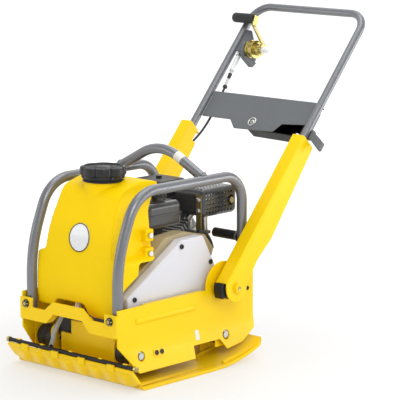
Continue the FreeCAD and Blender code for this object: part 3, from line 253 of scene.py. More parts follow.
def make_materials():
    """Every finish by its key: the record's slots first, then the ones that only this script uses."""
    m = {}
    m["yellow_paint"] = finish("powder_coat_yellow", YELLOW, 0.34, coat=0.04, specular=0.2,
                               grain=(520, 0.10), tone=0.025, wear=(rgb(226, 196, 92), 0.35),
                               crevice_shade=0.35, dust=0.14)
    m["yellow_tank"] = finish("moulded_yellow", TANK_YELLOW, 0.46, specular=0.1, grain=(900, 0.16),
                              tone=0.03, edge=0.003)
    m["grey_paint"] = finish("tube_grey", TUBE_GREY, 0.34, metallic=0.55, coat=0.25,
                             grain=(600, 0.025), tone=0.04, wear=(BARE_METAL, 0.25), spread=0.04)
    m["panel_grey"] = finish("panel_grey", rgb(104, 107, 110), 0.55, grain=(1500, 0.35), tone=0.05)
    m["dark_steel"] = finish("dark_steel", rgb(52, 52, 53), 0.5, metallic=0.5, grain=(700, 0.2),
                             tone=0.10, wear=(rgb(120, 112, 100), 0.4))
    m["zinc"] = finish("bright_zinc", rgb(206, 207, 205), 0.3, metallic=1.0, grain=(500, 0.12),
                       tone=0.08)
    m["yellow_zinc"] = finish("yellow_zinc", rgb(180, 164, 100), 0.27, metallic=1.0,
                              grain=(400, 0.12), tone=0.12)
    m["guard_white"] = finish("guard_pale", rgb(214, 214, 220), 0.38, grain=(800, 0.10), tone=0.02,
                              edge=0.002, crevice_shade=0.2)
    m["guard_beige"] = finish("guard_beige", rgb(172, 156, 120), 0.45, grain=(700, 0.15), tone=0.06,
                              crevice_shade=0.3)
    m["black_rubber"] = finish("black_rubber", rgb(50, 50, 51), 0.5, grain=(900, 0.30), tone=0.15)
    m["black_plastic"] = finish("black_plastic", rgb(44, 44, 46), 0.45, grain=(1300, 0.35), tone=0.10)
    m["engine_black"] = finish("engine_black", rgb(62, 62, 63), 0.32, coat=0.4, grain=(480, 0.10),
                               tone=0.08)
    m["cast"] = finish("cast_aluminium", rgb(132, 133, 134), 0.5, metallic=0.75, grain=(420, 0.55),
                       tone=0.12, crevice_shade=0.5)
    m["iron"] = finish("cast_iron", rgb(82, 80, 78), 0.55, metallic=0.8, grain=(380, 0.5), tone=0.12,
                       crevice_shade=0.5)
    m["steel"] = finish("ground_steel", rgb(176, 176, 174), 0.3, metallic=1.0, grain=(260, 0.2),
                        tone=0.08, stretch=(0.15, 3.0, 3.0))
    m["badge_grey"] = finish("badge_grey", rgb(196, 197, 196), 0.3, metallic=0.5, grain=(900, 0.1),
                             tone=0.05)
    m["white_plastic"] = finish("white_plastic", rgb(226, 226, 224), 0.35, grain=(900, 0.12), tone=0.03)
    m["dark_plastic"] = finish("dark_plastic", rgb(24, 24, 26), 0.5, grain=(1300, 0.3), tone=0.10)
    m["cap_black"] = finish("cap_black", rgb(36, 36, 38), 0.42, grain=(420, 0.5), tone=0.16)
    # partly painted light: light bare aluminium for the cylinder's fins, made lighter than the
    # crankcase's aluminium to lift the fins out of their shade
    m["fin_aluminium_painted_light"] = finish("fin_aluminium_painted_light", rgb(196, 196, 194), 0.42, metallic=0.45,
                                grain=(420, 0.5), tone=0.12)
    m["badge_white"] = finish("badge_white", rgb(226, 227, 228), 0.25, metallic=0.1, coat=0.4,
                              grain=(900, 0.08), tone=0.03)
    m["olive_steel"] = finish("olive_steel", rgb(118, 106, 66), 0.42, metallic=0.5, grain=(420, 0.3),
                              tone=0.15)
    m["label"] = finish("label_blank", rgb(232, 230, 224), 0.5, grain=(1600, 0.1), tone=0.03)
    m["rope"] = finish("braided_rope", rgb(60, 60, 62), 0.8, grain=(1800, 0.8), tone=0.3)
    hose = finish("clear_hose", rgb(208, 214, 214), 0.22, grain=(300, 0.1), tone=0.05, spread=0.05)
    hose.set(Transmission_Weight=0.55, IOR=1.42)
    m["clear_hose"] = hose
    return {key: shader.mat for key, shader in m.items()}


MATERIALS = make_materials()

# Nodes that look different from the rest of their record slot.
OWN_FINISH = {"pole_tray": "dark_plastic", "cylinder": "fin_aluminium_painted_light", "tank_emblem": "badge_white",
              "tank_cap": "cap_black", "spray_bar": "dark_plastic"}


def dress_nodes():
    """Each CAD node gets the procedural material named like its record slot."""
    for node in NODES.values():
        for place in node.material_slots:
            place.material = MATERIALS[place.material.name.split(".")[0]]
    for name, key in OWN_FINISH.items():
        NODES[name].material_slots[0].material = MATERIALS[key]


# ---------------------------------------------------------------- edges of the CAD nodes

SOFT_EDGE = 0.8 * MM
SHARP_ANGLE = math.radians(32)
MERGE_DISTANCE = 0.02 * MM
FLAT_ANGLE = math.radians(0.6)
TANK_VOXEL = 2.4 * MM
# Nodes whose edges are round already, or too fine for a bevel.
AS_THEY_ARE = {"front_cross_member", "base_plate", "crankcase", "crankshaft", "fuel_cap",
               "muffler_guard", "tank_cap", "water_tank", "cylinder", "air_cleaner", "lever_nut",
               "lever_grip", "control_cable", "choke_lever", "throttle_lever", "engine_switch"}


def joined_faces():
    """Geometry nodes that join the faces of a tessellated solid and drop its stored normals."""
    g = bpy.data.node_groups.new("joined_faces", "GeometryNodeTree")
    g.interface.new_socket("Geometry", in_out="INPUT", socket_type="NodeSocketGeometry")
    g.interface.new_socket("Geometry", in_out="OUTPUT", socket_type="NodeSocketGeometry")
    start = g.nodes.new("NodeGroupInput")
    merge = g.nodes.new("GeometryNodeMergeByDistance")
    merge.inputs["Distance"].default_value = MERGE_DISTANCE
    drop = g.nodes.new("GeometryNodeRemoveAttribute")
    drop.inputs["Name"].default_value = "custom_normal"
    faces = g.nodes.new("GeometryNodeSetShadeSmooth")
    edges = g.nodes.new("GeometryNodeSetShadeSmooth")
    edges.domain = "EDGE"
    end = g.nodes.new("NodeGroupOutput")
    chain = [start, merge, drop, faces, edges, end]
    for a, b in zip(chain, chain[1:]):
        g.links.new(a.outputs[0], b.inputs[0])
    return g


def round_tank():
    """The moulded tank's edges are rounded by a fine remesh and a smoothing."""
    tank = NODES["water_tank"]
    remesh = tank.modifiers.new("remesh", "REMESH")
    remesh.mode = "VOXEL"
    remesh.voxel_size = TANK_VOXEL
    remesh.use_smooth_shade = True
    smooth = tank.modifiers.new("smooth", "SMOOTH")
    smooth.factor = 0.6
    smooth.iterations = 7


def soften_nodes():
    """Flat faces are joined and sharp edges get a small bevel."""
    group = joined_faces()
    for name, node in NODES.items():
        if name in AS_THEY_ARE:
            continue
        node.modifiers.new("join", "NODES").node_group = group
        flat = node.modifiers.new("flat", "DECIMATE")
        flat.decimate_type = "DISSOLVE"
        flat.angle_limit = FLAT_ANGLE
        bevel = node.modifiers.new("soft_edges", "BEVEL")
        bevel.width = SOFT_EDGE
        bevel.segments = 2
        bevel.angle_limit = SHARP_ANGLE
        bevel.use_clamp_overlap = False
        bevel.harden_normals = True


# ---------------------------------------------------------------- building blocks

def mm(*values):
    """A place given in millimetres."""
    return Vector(values) * MM


def axes(axis):
    """A unit vector along the axis and two across it."""
    axis = Vector(axis).normalized()
    side = axis.orthogonal().normalized()
    return axis, side, axis.cross(side)


def circle(centre, side, other, radius, steps):
    """Points round a centre, in the plane of two axes; a single one where the radius is zero."""
    turns = [2 * math.pi * k / steps for k in range(steps if radius > 0 else 1)]
    return [centre + (side * math.cos(t) + other * math.sin(t)) * radius * MM for t in turns]


def lathe(bm, profile, origin, axis, steps):
    """A turned solid from (distance along the axis, radius) pairs in millimetres."""
    axis, side, other = axes(axis)
    rings = []
    for along, radius in profile:
        ring = circle(Vector(origin) + axis * along * MM, side, other, radius, steps)
        rings.append([bm.verts.new(point) for point in ring])
    bridge(bm, rings, steps, closed=profile[0][1] > 0 and profile[-1][1] > 0)


def bridge(bm, rings, steps, closed):
    """Faces between each ring and the next; a ring of one point becomes a fan."""
    pairs = list(zip(rings, rings[1:] + rings[:1])) if closed else list(zip(rings, rings[1:]))
    for low, high in pairs:
        for k in range(steps):
            n = (k + 1) % steps
            corners = [low[k % len(low)], low[n % len(low)], high[n % len(high)], high[k % len(high)]]
            corners = list(dict.fromkeys(corners))
            if len(corners) > 2:
                bm.faces.new(corners)


def sweep(bm, points, radius, steps, closed=False):
    """A tube along points; radius is a number in millimetres or a function of the point's index."""
    size = radius if callable(radius) else lambda i: radius
    count = len(points)
    rings = []
    side = None
    for i, point in enumerate(points):
        ahead = points[(i + 1) % count] if closed or i + 1 < count else point
        behind = points[i - 1] if closed or i else point
        along = (ahead - behind).normalized()
        side = along.orthogonal() if side is None else side - along * side.dot(along)
        side.normalize()
        ring = circle(point, side, along.cross(side), size(i), steps)
        rings.append([bm.verts.new(corner) for corner in ring])
    if not closed:
        rings = [[bm.verts.new(points[0])]] + rings + [[bm.verts.new(points[-1])]]
    bridge(bm, rings, steps, closed)


def prism(bm, outline, place):
    """An extruded outline: place(a, b, side) gives the corner for side 0 and side 1."""
    low = [bm.verts.new(place(a, b, 0)) for a, b in outline]
    high = [bm.verts.new(place(a, b, 1)) for a, b in outline]
    bm.faces.new(low)
    bm.faces.new(high)
    for k in range(len(low)):
        n = (k + 1) % len(low)
        bm.faces.new([low[k], low[n], high[n], high[k]])


def rounded_outline(width, height, radius):
    """A rectangle with round corners, in the order that prism() takes."""
    steps = 5
    points = []
    for quarter, (sx, sy) in enumerate(((1, 1), (-1, 1), (-1, -1), (1, -1))):
        for k in range(steps + 1):
            t = math.pi / 2 * (quarter + k / steps)
            points.append((sx * (width / 2 - radius) + radius * math.cos(t),
                           sy * (height / 2 - radius) + radius * math.sin(t)))
    return points


def curve_through(points, per):
    """A smooth curve through the given points, with per points for each stretch."""
    ends = [points[0] * 2 - points[1]] + list(points) + [points[-1] * 2 - points[-2]]
    out = []
    for a, b, c, d in zip(ends, ends[1:], ends[2:], ends[3:]):
        for k in range(per):
            t = k / per
            out.append(0.5 * (2 * b + (c - a) * t + (2 * a - 5 * b + 4 * c - d) * t ** 2
                              + (3 * b - a - 3 * c + d) * t ** 3))
    return out + [points[-1]]


def piece(name, bm, material, body="machine", bevel=0.0):
    """Turns a bmesh into a named piece with smooth faces, a finish and a body to ride on."""
    bmesh.ops.recalc_face_normals(bm, faces=bm.faces)
    for face in bm.faces:
        face.smooth = True
    for edge in bm.edges:
        edge.smooth = edge.is_manifold and edge.calc_face_angle(0) < SHARP_ANGLE
    mesh = bpy.data.meshes.new(name)
    bm.to_mesh(mesh)
    bm.free()
    mesh.materials.append(MATERIALS[material])
    obj = bpy.data.objects.new(name, mesh)
    bpy.context.scene.collection.objects.link(obj)
    if bevel:
        soft = obj.modifiers.new("soft_edges", "BEVEL")
        soft.width = bevel * MM
        soft.segments = 2
        soft.angle_limit = SHARP_ANGLE
        soft.harden_normals = True
    if body:
        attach(obj, body)
    return obj


def hex_head(bm, origin, axis, across, height):
    """A hexagon head with a chamfer, from its size across flats."""
    radius = across / math.sqrt(3)
    profile = [(0, 0), (0, radius), (height * 0.82, radius), (height, radius * 0.86), (height, 0)]
    lathe(bm, profile, origin, axis, 6)


def washer(bm, origin, axis, radius, height, steps=28):
    """A washer under a bolt's head, closed in the middle."""
    lathe(bm, [(0, 0), (0, radius), (height, radius), (height, 0)], origin, axis, steps)


def disc(bm, origin, axis, radius, height, dish=0.0):
    """A turned button with a softened rim and, if asked, a dished face."""
    soft = min(1.0, height / 3)
    profile = [(0, 0), (0, radius), (height - soft, radius), (height, radius - soft),
               (height, radius * 0.6), (height - dish, radius * 0.5), (height - dish, 0)]
    lathe(bm, profile, origin, axis, 28)


# ---------------------------------------------------------------- places on the machine

PIVOT = mm(0, PIVOT_Y, PIVOT_Z)
POLE_LEAN = math.radians(40.9)
SKIRT_OUT = Vector((0.975, 0, 0.2217))      # square to the right skirt's face
SKIRT_UP = Vector((-0.2217, 0, 0.975))      # up along it
BACKWARD = Vector((0, 1, 0))


def pole_at(x, along, off=0):
    """A point by its distances along the pole and out from its plane, in millimetres."""
    sine, cosine = math.sin(POLE_LEAN), math.cos(POLE_LEAN)
    return PIVOT + mm(x, along * sine - off * cosine, along * cosine + off * sine)


POLE_OUT = (pole_at(0, 0, 1) - pole_at(0, 0)).normalized()


def skirt_at(y, z, out):
    """A point on the right skirt's outer face, out from it by some millimetres."""
    return mm(WALL_X + (WALL_BEND_Z - z) * SKIRT_RUN / SKIRT_DROP, y, z) + SKIRT_OUT * out * MM


def on_skirt(y, z, low, thick):
    """For prism(): an outline on the skirt round (y, z), from low to thick more millimetres out."""
    return lambda a, b, end: skirt_at(y, z, thick * end + low) + BACKWARD * a * MM + SKIRT_UP * b * MM


def surface(node):
    """The rest surface of a CAD node, for rays."""
    return BVHTree.FromPolygons([v.co for v in NODES[node].data.vertices],
                                [p.vertices for p in NODES[node].data.polygons])


# ---------------------------------------------------------------- chassis and sole details

NOSE_X, NOSE_Z = -238, 7        # left end and foot of the fluted face
FLUTE_HEIGHT = 10.5
FLUTE_BACK = 3                  # depth of the skin's hidden back in the plate


def flute_rise(x, z):
    """Height of the slanting flutes, 0 to 1: a long climb and a short drop."""
    pitch, slant, climb = 57.6, 0.35, 0.72
    phase = ((x - NOSE_X - (z - NOSE_Z) * slant) / pitch) % 1
    return phase / climb if phase < climb else (1 - phase) / (1 - climb)


def nose_teeth():
    """Slanting cast flutes on the sole plate's nose, sunk into its face at their borders."""
    plate = surface("base_plate")
    xs = [NOSE_X + 3.4 * i for i in range(141)]
    zs = [NOSE_Z + 4.2 * j for j in range(12)]
    last_i, last_j = len(xs) - 1, len(zs) - 1
    bm = bmesh.new()
    front, back = [], []
    for j, z in enumerate(zs):
        rows = [], []
        for i, x in enumerate(xs):
            hit, normal = plate.ray_cast(mm(x, -400, z), BACKWARD)[:2]
            fade = min(1, j / 3, (last_j - j) / 1.5, i / 3, (last_i - i) / 3)
            out = FLUTE_HEIGHT * flute_rise(x, z) * fade + 0.3 - 1.3 * (1 - fade)
            rows[0].append(bm.verts.new(hit + normal * out * MM))
            rows[1].append(bm.verts.new(hit - normal * FLUTE_BACK * MM))
        front.append(rows[0])
        back.append(rows[1])
    for grid in (front, back):
        for j in range(last_j):
            for i in range(last_i):
                bm.faces.new([grid[j][i], grid[j][i + 1], grid[j + 1][i + 1], grid[j + 1][i]])
    rim = [(j, 0) for j in range(len(zs))] + [(last_j, i) for i in range(1, len(xs))]
    rim += [(j, last_i) for j in range(last_j - 1, -1, -1)]
    rim += [(0, i) for i in range(last_i - 1, 0, -1)]
    for (j, i), (q, p) in zip(rim, rim[1:] + rim[:1]):
        bm.faces.new([front[j][i], front[q][p], back[q][p], back[j][i]])
    piece("nose_flutes", bm, "yellow_paint")


def skirt_fittings():
    """Raised pad with two rubber plugs, and a blank label."""
    bm = bmesh.new()
    prism(bm, rounded_outline(44, 25, 10), on_skirt(-115, 82, -1, 3.2))
    piece("plug_pad", bm, "yellow_paint", bevel=1.2)
    bm = bmesh.new()
    for y in (-125.5, -105):
        disc(bm, skirt_at(y, 81.5, 1.8), SKIRT_OUT, 7.2, 3.2, 1.4)
    piece("skirt_plugs", bm, "black_rubber")
    bm = bmesh.new()
    prism(bm, rounded_outline(15, 29, 2.5), on_skirt(47, 100, -0.1, 0.7))
    piece("blank_label", bm, "label")


def column_washers_painted_shade():
    """Washers, bolt heads and stud ends on the guard bars' front columns; washers and heads are dark as
    painted shade of the recess round each bolt.
    """
    forward = (0, -1, 0)
    bm = bmesh.new()
    # painted shade: the washer rings and bolt heads are dark to stand for the shaded recess round each
    # bolt
    for side in (-1, 1):
        profile = [(0, 7), (0, 11.8), (1.2, 11.8), (1.6, 11.2), (1.6, 7)]
        lathe(bm, profile, mm(side * COLUMN_X, -273.8, COLUMN_Z), forward, 36)
        hex_head(bm, mm(side * COLUMN_X, -273.9, COLUMN_Z), forward, 18.8, 7.8)
    piece("column_washers_painted_shade", bm, "dark_steel", bevel=0.4)
    bm = bmesh.new()
    for side in (-1, 1):
        disc(bm, mm(side * COLUMN_X, -281.2, COLUMN_Z), forward, 5.8, 1.2, 0.3)
    piece("column_studs", bm, "yellow_zinc")


def spray_bar_ends():
    """Octagonal plugs at both ends of the spray bar."""
    profile = [(0, 0), (0, 8.4), (8, 8.4), (9.5, 7), (11, 6.5), (11, 0)]
    bm = bmesh.new()
    for side in (-1, 1):
        lathe(bm, profile, mm(side * 250.5, -262, 69), (side, 0, 0), 8)
    piece("spray_bar_caps", bm, "yellow_zinc")


def ripple(radius):
    """A weld bead's radius, which swells and thins every four rings."""
    return lambda i: radius * (1 + 0.16 * math.sin(i * math.pi / 2))


def weld_ring(bm, centre, axis, radius, thick):
    """A closed bead round a tube."""
    axis, side, other = axes(axis)
    sweep(bm, circle(centre, side, other, radius, 60), ripple(thick), 8, closed=True)


def weld_beads():
    """Rippled beads where tubes meet: lifting hoop, guard bars and rear bar."""
    x, y, z = HOOP_FOOT
    bm = bmesh.new()
    for side in (-1, 1):
        slope = Vector((-side * 1.0, 0, 0.532)).normalized()
        weld_ring(bm, mm(side * x, y, z) + slope * 13 * MM, slope, 14.9, 2.1)
        weld_ring(bm, mm(side * x, REAR_Y, REAR_FOOT_Z), (0, 0, 1), 15.6, 2.2)
    weld_ring(bm, mm(*REAR_BAR), (1, 0, 0), 14.6, 2.1)
    piece("weld_beads", bm, "grey_paint")


def wall_seams():
    """Weld runs where the front plate meets the side walls."""
    bm = bmesh.new()
    for side in (-1, 1):
        run = [mm(side * 188.6, -261.5, 152 + 1.6 * k) for k in range(36)]
        sweep(bm, run, ripple(2.4), 8)
    piece("wall_welds", bm, "yellow_paint")


def notch_shade_panel():
    """Black plastic panel behind the guard wall's notch: a dark sheet that paints the shade in the
    space behind it.
    """
    bm = bmesh.new()
    prism(bm, [(-117, 96), (-50, 96), (-50, 140), (-58, 164), (-106, 164), (-117, 152)],
          lambda x, z, side: mm(x, -197 + 3 * side, z))
    # painted shade: a black sheet where the space behind the notch lies in shade
    piece("notch_shade_panel", bm, "black_plastic", bevel=1.0)


def wall_plugs():
    """Small stepped black plugs in the side walls, behind the pole's feet."""
    bm = bmesh.new()
    for side in (-1, 1):
        place = mm(side * (WALL_X - 0.4), 266, 201)
        disc(bm, place, (side, 0, 0), 6.2, 2.8, 0.8)
        disc(bm, place, (side, 0, 0), 3.6, 5.2, 0.8)
    piece("wall_plugs", bm, "black_rubber", bevel=0.3)


def hoop_label():
    """Blank label wrapped round the right leg of the lifting hoop."""
    slope = Vector((-0.883, 0, 0.47)).normalized()
    bm = bmesh.new()
    lathe(bm, [(96, 14.0), (96, 14.75), (124, 14.75), (124, 14.0)], mm(*HOOP_FOOT), slope, 48)
    piece("hoop_label", bm, "label")


def guard_trim():
    """Dark rubber edge along the rear slope of the belt guard's shell."""
    line = curve_through([mm(133, 121, 383), mm(133, 143, 377), mm(133, 160, 363), mm(133, 173, 343),
                          mm(133, 180, 325)], 8)
    bm = bmesh.new()
    sweep(bm, line, 5.0, 14)
    piece("guard_trim", bm, "black_rubber")


# ---------------------------------------------------------------- pole details

def hub_details():
    """Rubber bush in the pole's feet, a dark block that paints the shade in each foot's opening, and
    the nut and stud of each pivot.
    """
    inner, outer, first, opening, steps = 22, 57, 160, 47, 12
    arc = [math.radians(first + opening * k / steps) for k in range(steps + 1)]
    shade_sector = [(outer * math.cos(t), outer * math.sin(t)) for t in arc]
    shade_sector += [(inner * math.cos(t), inner * math.sin(t)) for t in reversed(arc)]
    bm = bmesh.new()
    for side in (-1, 1):
        place = mm(side * 208, PIVOT_Y, PIVOT_Z)
        lathe(bm, [(0, 20), (0, 36), (34, 36), (34, 20)], place, (side, 0, 0), 40)
        # painted shade: a dark block filling the foot's opening
        prism(bm, shade_sector, lambda a, b, end: mm(side * (209 + 30 * end), PIVOT_Y + a, PIVOT_Z + b))
    piece("hub_bushes_and_shade_blocks", bm, "dark_plastic", "pole")
    bm = bmesh.new()
    for side in (-1, 1):
        profile = [(0, 9.5), (0, 18), (2.2, 18), (2.6, 17), (2.6, 9.5)]
        lathe(bm, profile, mm(side * (POLE_FOOT_X + 0.1), PIVOT_Y, PIVOT_Z), (side, 0, 0), 40)
        hex_head(bm, mm(side * (POLE_FOOT_X + 2.5), PIVOT_Y, PIVOT_Z), (side, 0, 0), 26.5, 7.2)
    piece("pivot_nuts", bm, "yellow_paint", bevel=0.6)
    bm = bmesh.new()
    for side in (-1, 1):
        place = mm(side * (POLE_FOOT_X + 9.4), PIVOT_Y, PIVOT_Z)
        disc(bm, place, (side, 0, 0), 6.5, 1.6, 0.4)
    piece("pivot_studs", bm, "yellow_zinc")


def panel_ring():
    """Metal eyelet in the middle of the panel, with a domed knob in it."""
    place = pole_at(-2, 543, 13)
    eyelet = [(-4, 10.6), (2.2, 10.6), (3.2, 11.6), (3.2, 13.4), (2.2, 15.2), (0.3, 15.6),
              (0.1, 12.4), (-4, 12.3)]
    dome = [(-4, 0), (-4, 9.6), (-0.6, 9.6), (1.6, 8.4), (3.4, 5.6), (4.2, 2.4), (4.4, 0)]
    bm = bmesh.new()
    lathe(bm, eyelet, place, POLE_OUT, 40)
    piece("panel_eyelet", bm, "zinc", "pole")
    bm = bmesh.new()
    lathe(bm, dome, place, POLE_OUT, 36)
    piece("panel_knob", bm, "steel", "pole")


def arm_clip():
    """Light plastic clip where the tube enters the right arm."""
    bm = bmesh.new()
    prism(bm, rounded_outline(11, 13, 3), lambda a, b, end: pole_at(211 + a, 500 + 9 * end, 33 + b))
    piece("arm_clip", bm, "white_plastic", "pole", bevel=1.0)


def cable_adjuster():
    """Threaded sleeve, light sheath, lock nuts and boots of the travel cable above the panel."""
    line = curve_through([pole_at(-196, 785, 8), pole_at(-193.5, 752, 8.6), pole_at(-191, 722, 9),
                          pole_at(-187.5, 684, 8.2), pole_at(-184.5, 655, 7)], 10)
    bm = bmesh.new()
    sweep(bm, line[3:22], lambda i: 7.2 + 0.35 * math.sin(i * 2.4), 20)
    piece("cable_sleeve", bm, "badge_white", "pole")
    bm = bmesh.new()
    sweep(bm, line[20:], 4.6, 16)
    piece("cable_sheath", bm, "badge_grey", "pole")
    bm = bmesh.new()
    along = (line[1] - line[3]).normalized()
    for place in (1, 4):
        hex_head(bm, line[place], along, 17, 5)
    hex_head(bm, line[22], along, 13, 6)
    piece("cable_lock_nuts", bm, "zinc", "pole", bevel=0.4)
    bm = bmesh.new()
    sweep(bm, line[24:30], lambda i: (5.6, 6.4, 5.4, 6.2, 5.2, 4.8)[i], 18)
    sweep(bm, line[-4:], lambda i: (5.2, 7.2, 7.6, 7.2)[i], 18)
    piece("cable_boots", bm, "black_rubber", "pole")


# ---------------------------------------------------------------- tank details

def badge_ring():
    """Thin dark rim that follows the curved front of the tank round the blank disc."""
    skin = surface("tank_emblem")
    centre_x, centre_z, radius, steps = 2, 396, 38.6, 96
    points = []
    for k in range(steps):
        t = 2 * math.pi * k / steps
        start = mm(centre_x + radius * math.cos(t), -400, centre_z + radius * math.sin(t))
        points.append(skin.ray_cast(start, BACKWARD)[0] + mm(0, 0.2, 0))
    bm = bmesh.new()
    sweep(bm, points, 1.5, 8, closed=True)
    piece("badge_rim", bm, "dark_steel")


def lobed_cap():
    """Screw cap with eight round lobes, a knurled band, a raised rim and a ribbed, dished top."""
    lobes, knurls, ribs, steps = 8, 48, 16, 192
    lobe_depth, knurl_depth, rib_height = 8.0, 0.35, 0.9
    profile = [(556, 0.0), (556, 58.0), (556.6, 61.2), (563, 62.0), (565, 64.0), (566, 65.2),
               (583, 65.2), (586.5, 64.0), (588, 61.4), (588, 56.5), (587, 55.2), (584, 54.0),
               (583.4, 52.0), (583.4, 20.0), (585, 17.5), (586.2, 14.0), (586.4, 0.0)]
    bm = bmesh.new()
    rings = []
    for z, radius in profile:
        in_grip = z > 562 and radius > 60
        in_knurl = radius > 61.5 and z > 565
        in_dish = 583 < z < 584 and radius > 19
        ring = []
        for k in range(steps if radius else 1):
            t = 2 * math.pi * k / steps
            lobe = abs(math.cos(lobes / 2 * t)) ** 0.55 if in_grip else 1.0
            knurl = knurl_depth * math.cos(knurls * t) if in_knurl else 0.0
            rib = rib_height * max(0.0, math.cos(ribs * t)) ** 4 if in_dish else 0.0
            reach = radius - lobe_depth * (1 - lobe) + knurl
            x, y = CAP_X + reach * math.cos(t), CAP_Y + reach * math.sin(t)
            ring.append(bm.verts.new(mm(x, y, z + rib)))
        rings.append(ring)
    bridge(bm, rings, steps, closed=False)
    thread = [(535, 0), (535, 43.6), (536, 44.3), (556.5, 44.3), (556.5, 0)]
    lathe(bm, thread, mm(CAP_X, CAP_Y, 0), (0, 0, 1), 64)
    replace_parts(piece("lobed_cap", bm, "cap_black", "tank_cap"), "tank_cap")


def neck_collar():
    """Black ring between the tank's neck and its cap."""
    profile = [(0, 52), (0, 57), (1, 58.5), (4, 58.5), (5, 57.5), (5, 52)]
    bm = bmesh.new()
    lathe(bm, profile, mm(CAP_X, CAP_Y, 545.8), (0, 0, 1), 64)
    piece("neck_collar", bm, "cap_black")


# ---------------------------------------------------------------- engine details

def silencer_stay():
    """Bent strap that carries the silencer's front, with its two screws."""
    outline = [(139, 482), (142.5, 482), (142.5, 380), (145, 376), (172, 376), (172, 372.5),
               (143, 372.5), (139, 377)]
    bm = bmesh.new()
    prism(bm, outline, lambda y, z, side: mm(106 + 20 * side, y, z))
    piece("silencer_stay", bm, "olive_steel", bevel=0.9)
    bm = bmesh.new()
    for z in (436, 468):
        washer(bm, mm(116, 139.2, z), (0, -1, 0), 8, 1.2, 24)
        hex_head(bm, mm(116, 138, z), (0, -1, 0), 10, 4.5)
    piece("stay_screws", bm, "zinc", bevel=0.3)


def plug_lead():
    """Boot of the spark plug and the ignition lead from it to the fan housing."""
    line = curve_through([mm(-16, 246, 352), mm(-16, 262, 364), mm(-48, 262, 368), mm(-84, 236, 352),
                          mm(-104, 196, 330), mm(-110, 160, 318)], 10)
    boot = [(0, 0), (0, 8.5), (18, 9.5), (26, 8), (30, 4), (30, 0)]
    bm = bmesh.new()
    sweep(bm, line, 3.4, 12)
    lathe(bm, boot, mm(-16, 226, 340), (0, 0.86, 0.5), 24)
    piece("ignition_lead", bm, "black_rubber")


def engine_castings():
    """Ribs on the crankcase's rear face."""
    bm = bmesh.new()
    for x in (-66, -44, -22, 0, 22):
        prism(bm, [(178, -1), (262, -1), (256, 4.5), (180, 7)],
              lambda z, out, side: mm(x - 2 + 4 * side, 136 + out, z))
    piece("crankcase_ribs", bm, "cast", bevel=0.8)


def bolt_circle(radius, first):
    """Six places (y, z) round the crankshaft, from the first angle in degrees."""
    turns = [math.radians(60 * k + first) for k in range(6)]
    return [(CRANK_Y + radius * math.cos(t), CRANK_Z + radius * math.sin(t)) for t in turns]


def engine_fasteners():
    """Mounting bolts, cover bolts, drain plug and the recoil cover's screws."""
    up, right, backward = (0, 0, 1), (1, 0, 0), (0, 1, 0)
    bm = bmesh.new()
    for x in (-74, 30):
        for y in (-34, 148):
            washer(bm, mm(x, y, 176), up, 10.5, 1.8)
            hex_head(bm, mm(x, y, 177.6), up, 15, 7)
    for y, z in bolt_circle(54, 30):
        hex_head(bm, mm(56, y, z), right, 10, 5)
    washer(bm, mm(-55, 136, 188), backward, 11, 2)
    hex_head(bm, mm(-55, 137.8, 188), backward, 16, 8)
    recoil = surface("recoil_cover")
    for y, z in bolt_circle(73, 20):
        hit = recoil.ray_cast(mm(-300, y, z), Vector(right))[0]
        if hit:
            hex_head(bm, hit + mm(0.3, 0, 0), (-1, 0, 0), 8, 4)
    piece("engine_bolts", bm, "zinc", bevel=0.4)


def fuel_line():
    """Fuel hose from the tank to the carburettor with its two clips."""
    line = curve_through([mm(-78, 98, 366), mm(-79, 111, 374), mm(-84, 124, 398), mm(-89, 142, 411),
                          mm(-95, 158, 412), mm(-97, 174, 405)], 10)
    bm = bmesh.new()
    sweep(bm, line, 3.6, 14)
    piece("fuel_line", bm, "black_rubber")
    bm = bmesh.new()
    for near, far in ((4, 7), (-6, -3)):
        along = (line[far] - line[near]).normalized()
        lathe(bm, [(0, 3.4), (0, 4.5), (4, 4.5), (4, 3.4)], line[near], along, 24)
    piece("fuel_line_clips", bm, "zinc")


def rope():
    """Starter rope between its guide and the grip."""
    at = mm(-150, 130, 356)
    pull = Vector((-0.85, 0.15, 0.5)).normalized()
    line = [at + pull * (k * 0.5 - 6) * MM for k in range(37)]
    bm = bmesh.new()
    sweep(bm, line, 2.4, 10)
    obj = piece("starter_rope", bm, "rope", body=None)
    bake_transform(obj)


def build_details():
    nose_teeth()
    skirt_fittings()
    column_washers_painted_shade()
    spray_bar_ends()
    weld_beads()
    wall_seams()
    hub_details()
    panel_ring()
    arm_clip()
    lobed_cap()
    cable_adjuster()
    badge_ring()
    neck_collar()
    notch_shade_panel()
    wall_plugs()
    hoop_label()
    guard_trim()
    silencer_stay()
    plug_lead()
    engine_castings()
    engine_fasteners()
    fuel_line()
    rope()


# ---------------------------------------------------------------- studio

# name: place, target, size and watts
LIGHTS = {"key": ((3.4, -1.6, 3.0), (0, 0, 0.3), (2.4, 2.4), 72),
          "front": ((-2.4, -3.6, 1.6), (0, 0, 0.35), (2.2, 1.8), 22),
          "top": ((0.2, 0.4, 3.6), (0, 0.1, 0.2), (2.6, 2.6), 44),
          "low_right": ((2.5, 2.6, 0.75), (0, 0, 0.15), (1.7, 1.1), 24),
          "back": ((-1.6, 3.4, 2.2), (0, 0.2, 0.5), (2.0, 2.0), 20)}
BACKDROP_SIDE = (-0.68, 0.73, 0.0)      # the way the camera looks, on the level
FLOOR_SIZE = 30
CAMERA_PLACE = (4.2291, -4.3050, 1.5566)
CAMERA_AZIMUTH = math.radians(42.74)
CAMERA_PITCH = math.radians(10.19)
CAMERA_LENS = 192.95


def area_light(name, place, target, size, power):
    """A soft rectangular light that faces its target."""
    lamp = bpy.data.lights.new(name, "AREA")
    lamp.shape = "RECTANGLE"
    lamp.size, lamp.size_y = size
    lamp.energy = power
    obj = bpy.data.objects.new(name, lamp)
    obj.location = place
    obj.rotation_euler = (Vector(target) - Vector(place)).to_track_quat("-Z", "Y").to_euler()
    bpy.context.scene.collection.objects.link(obj)


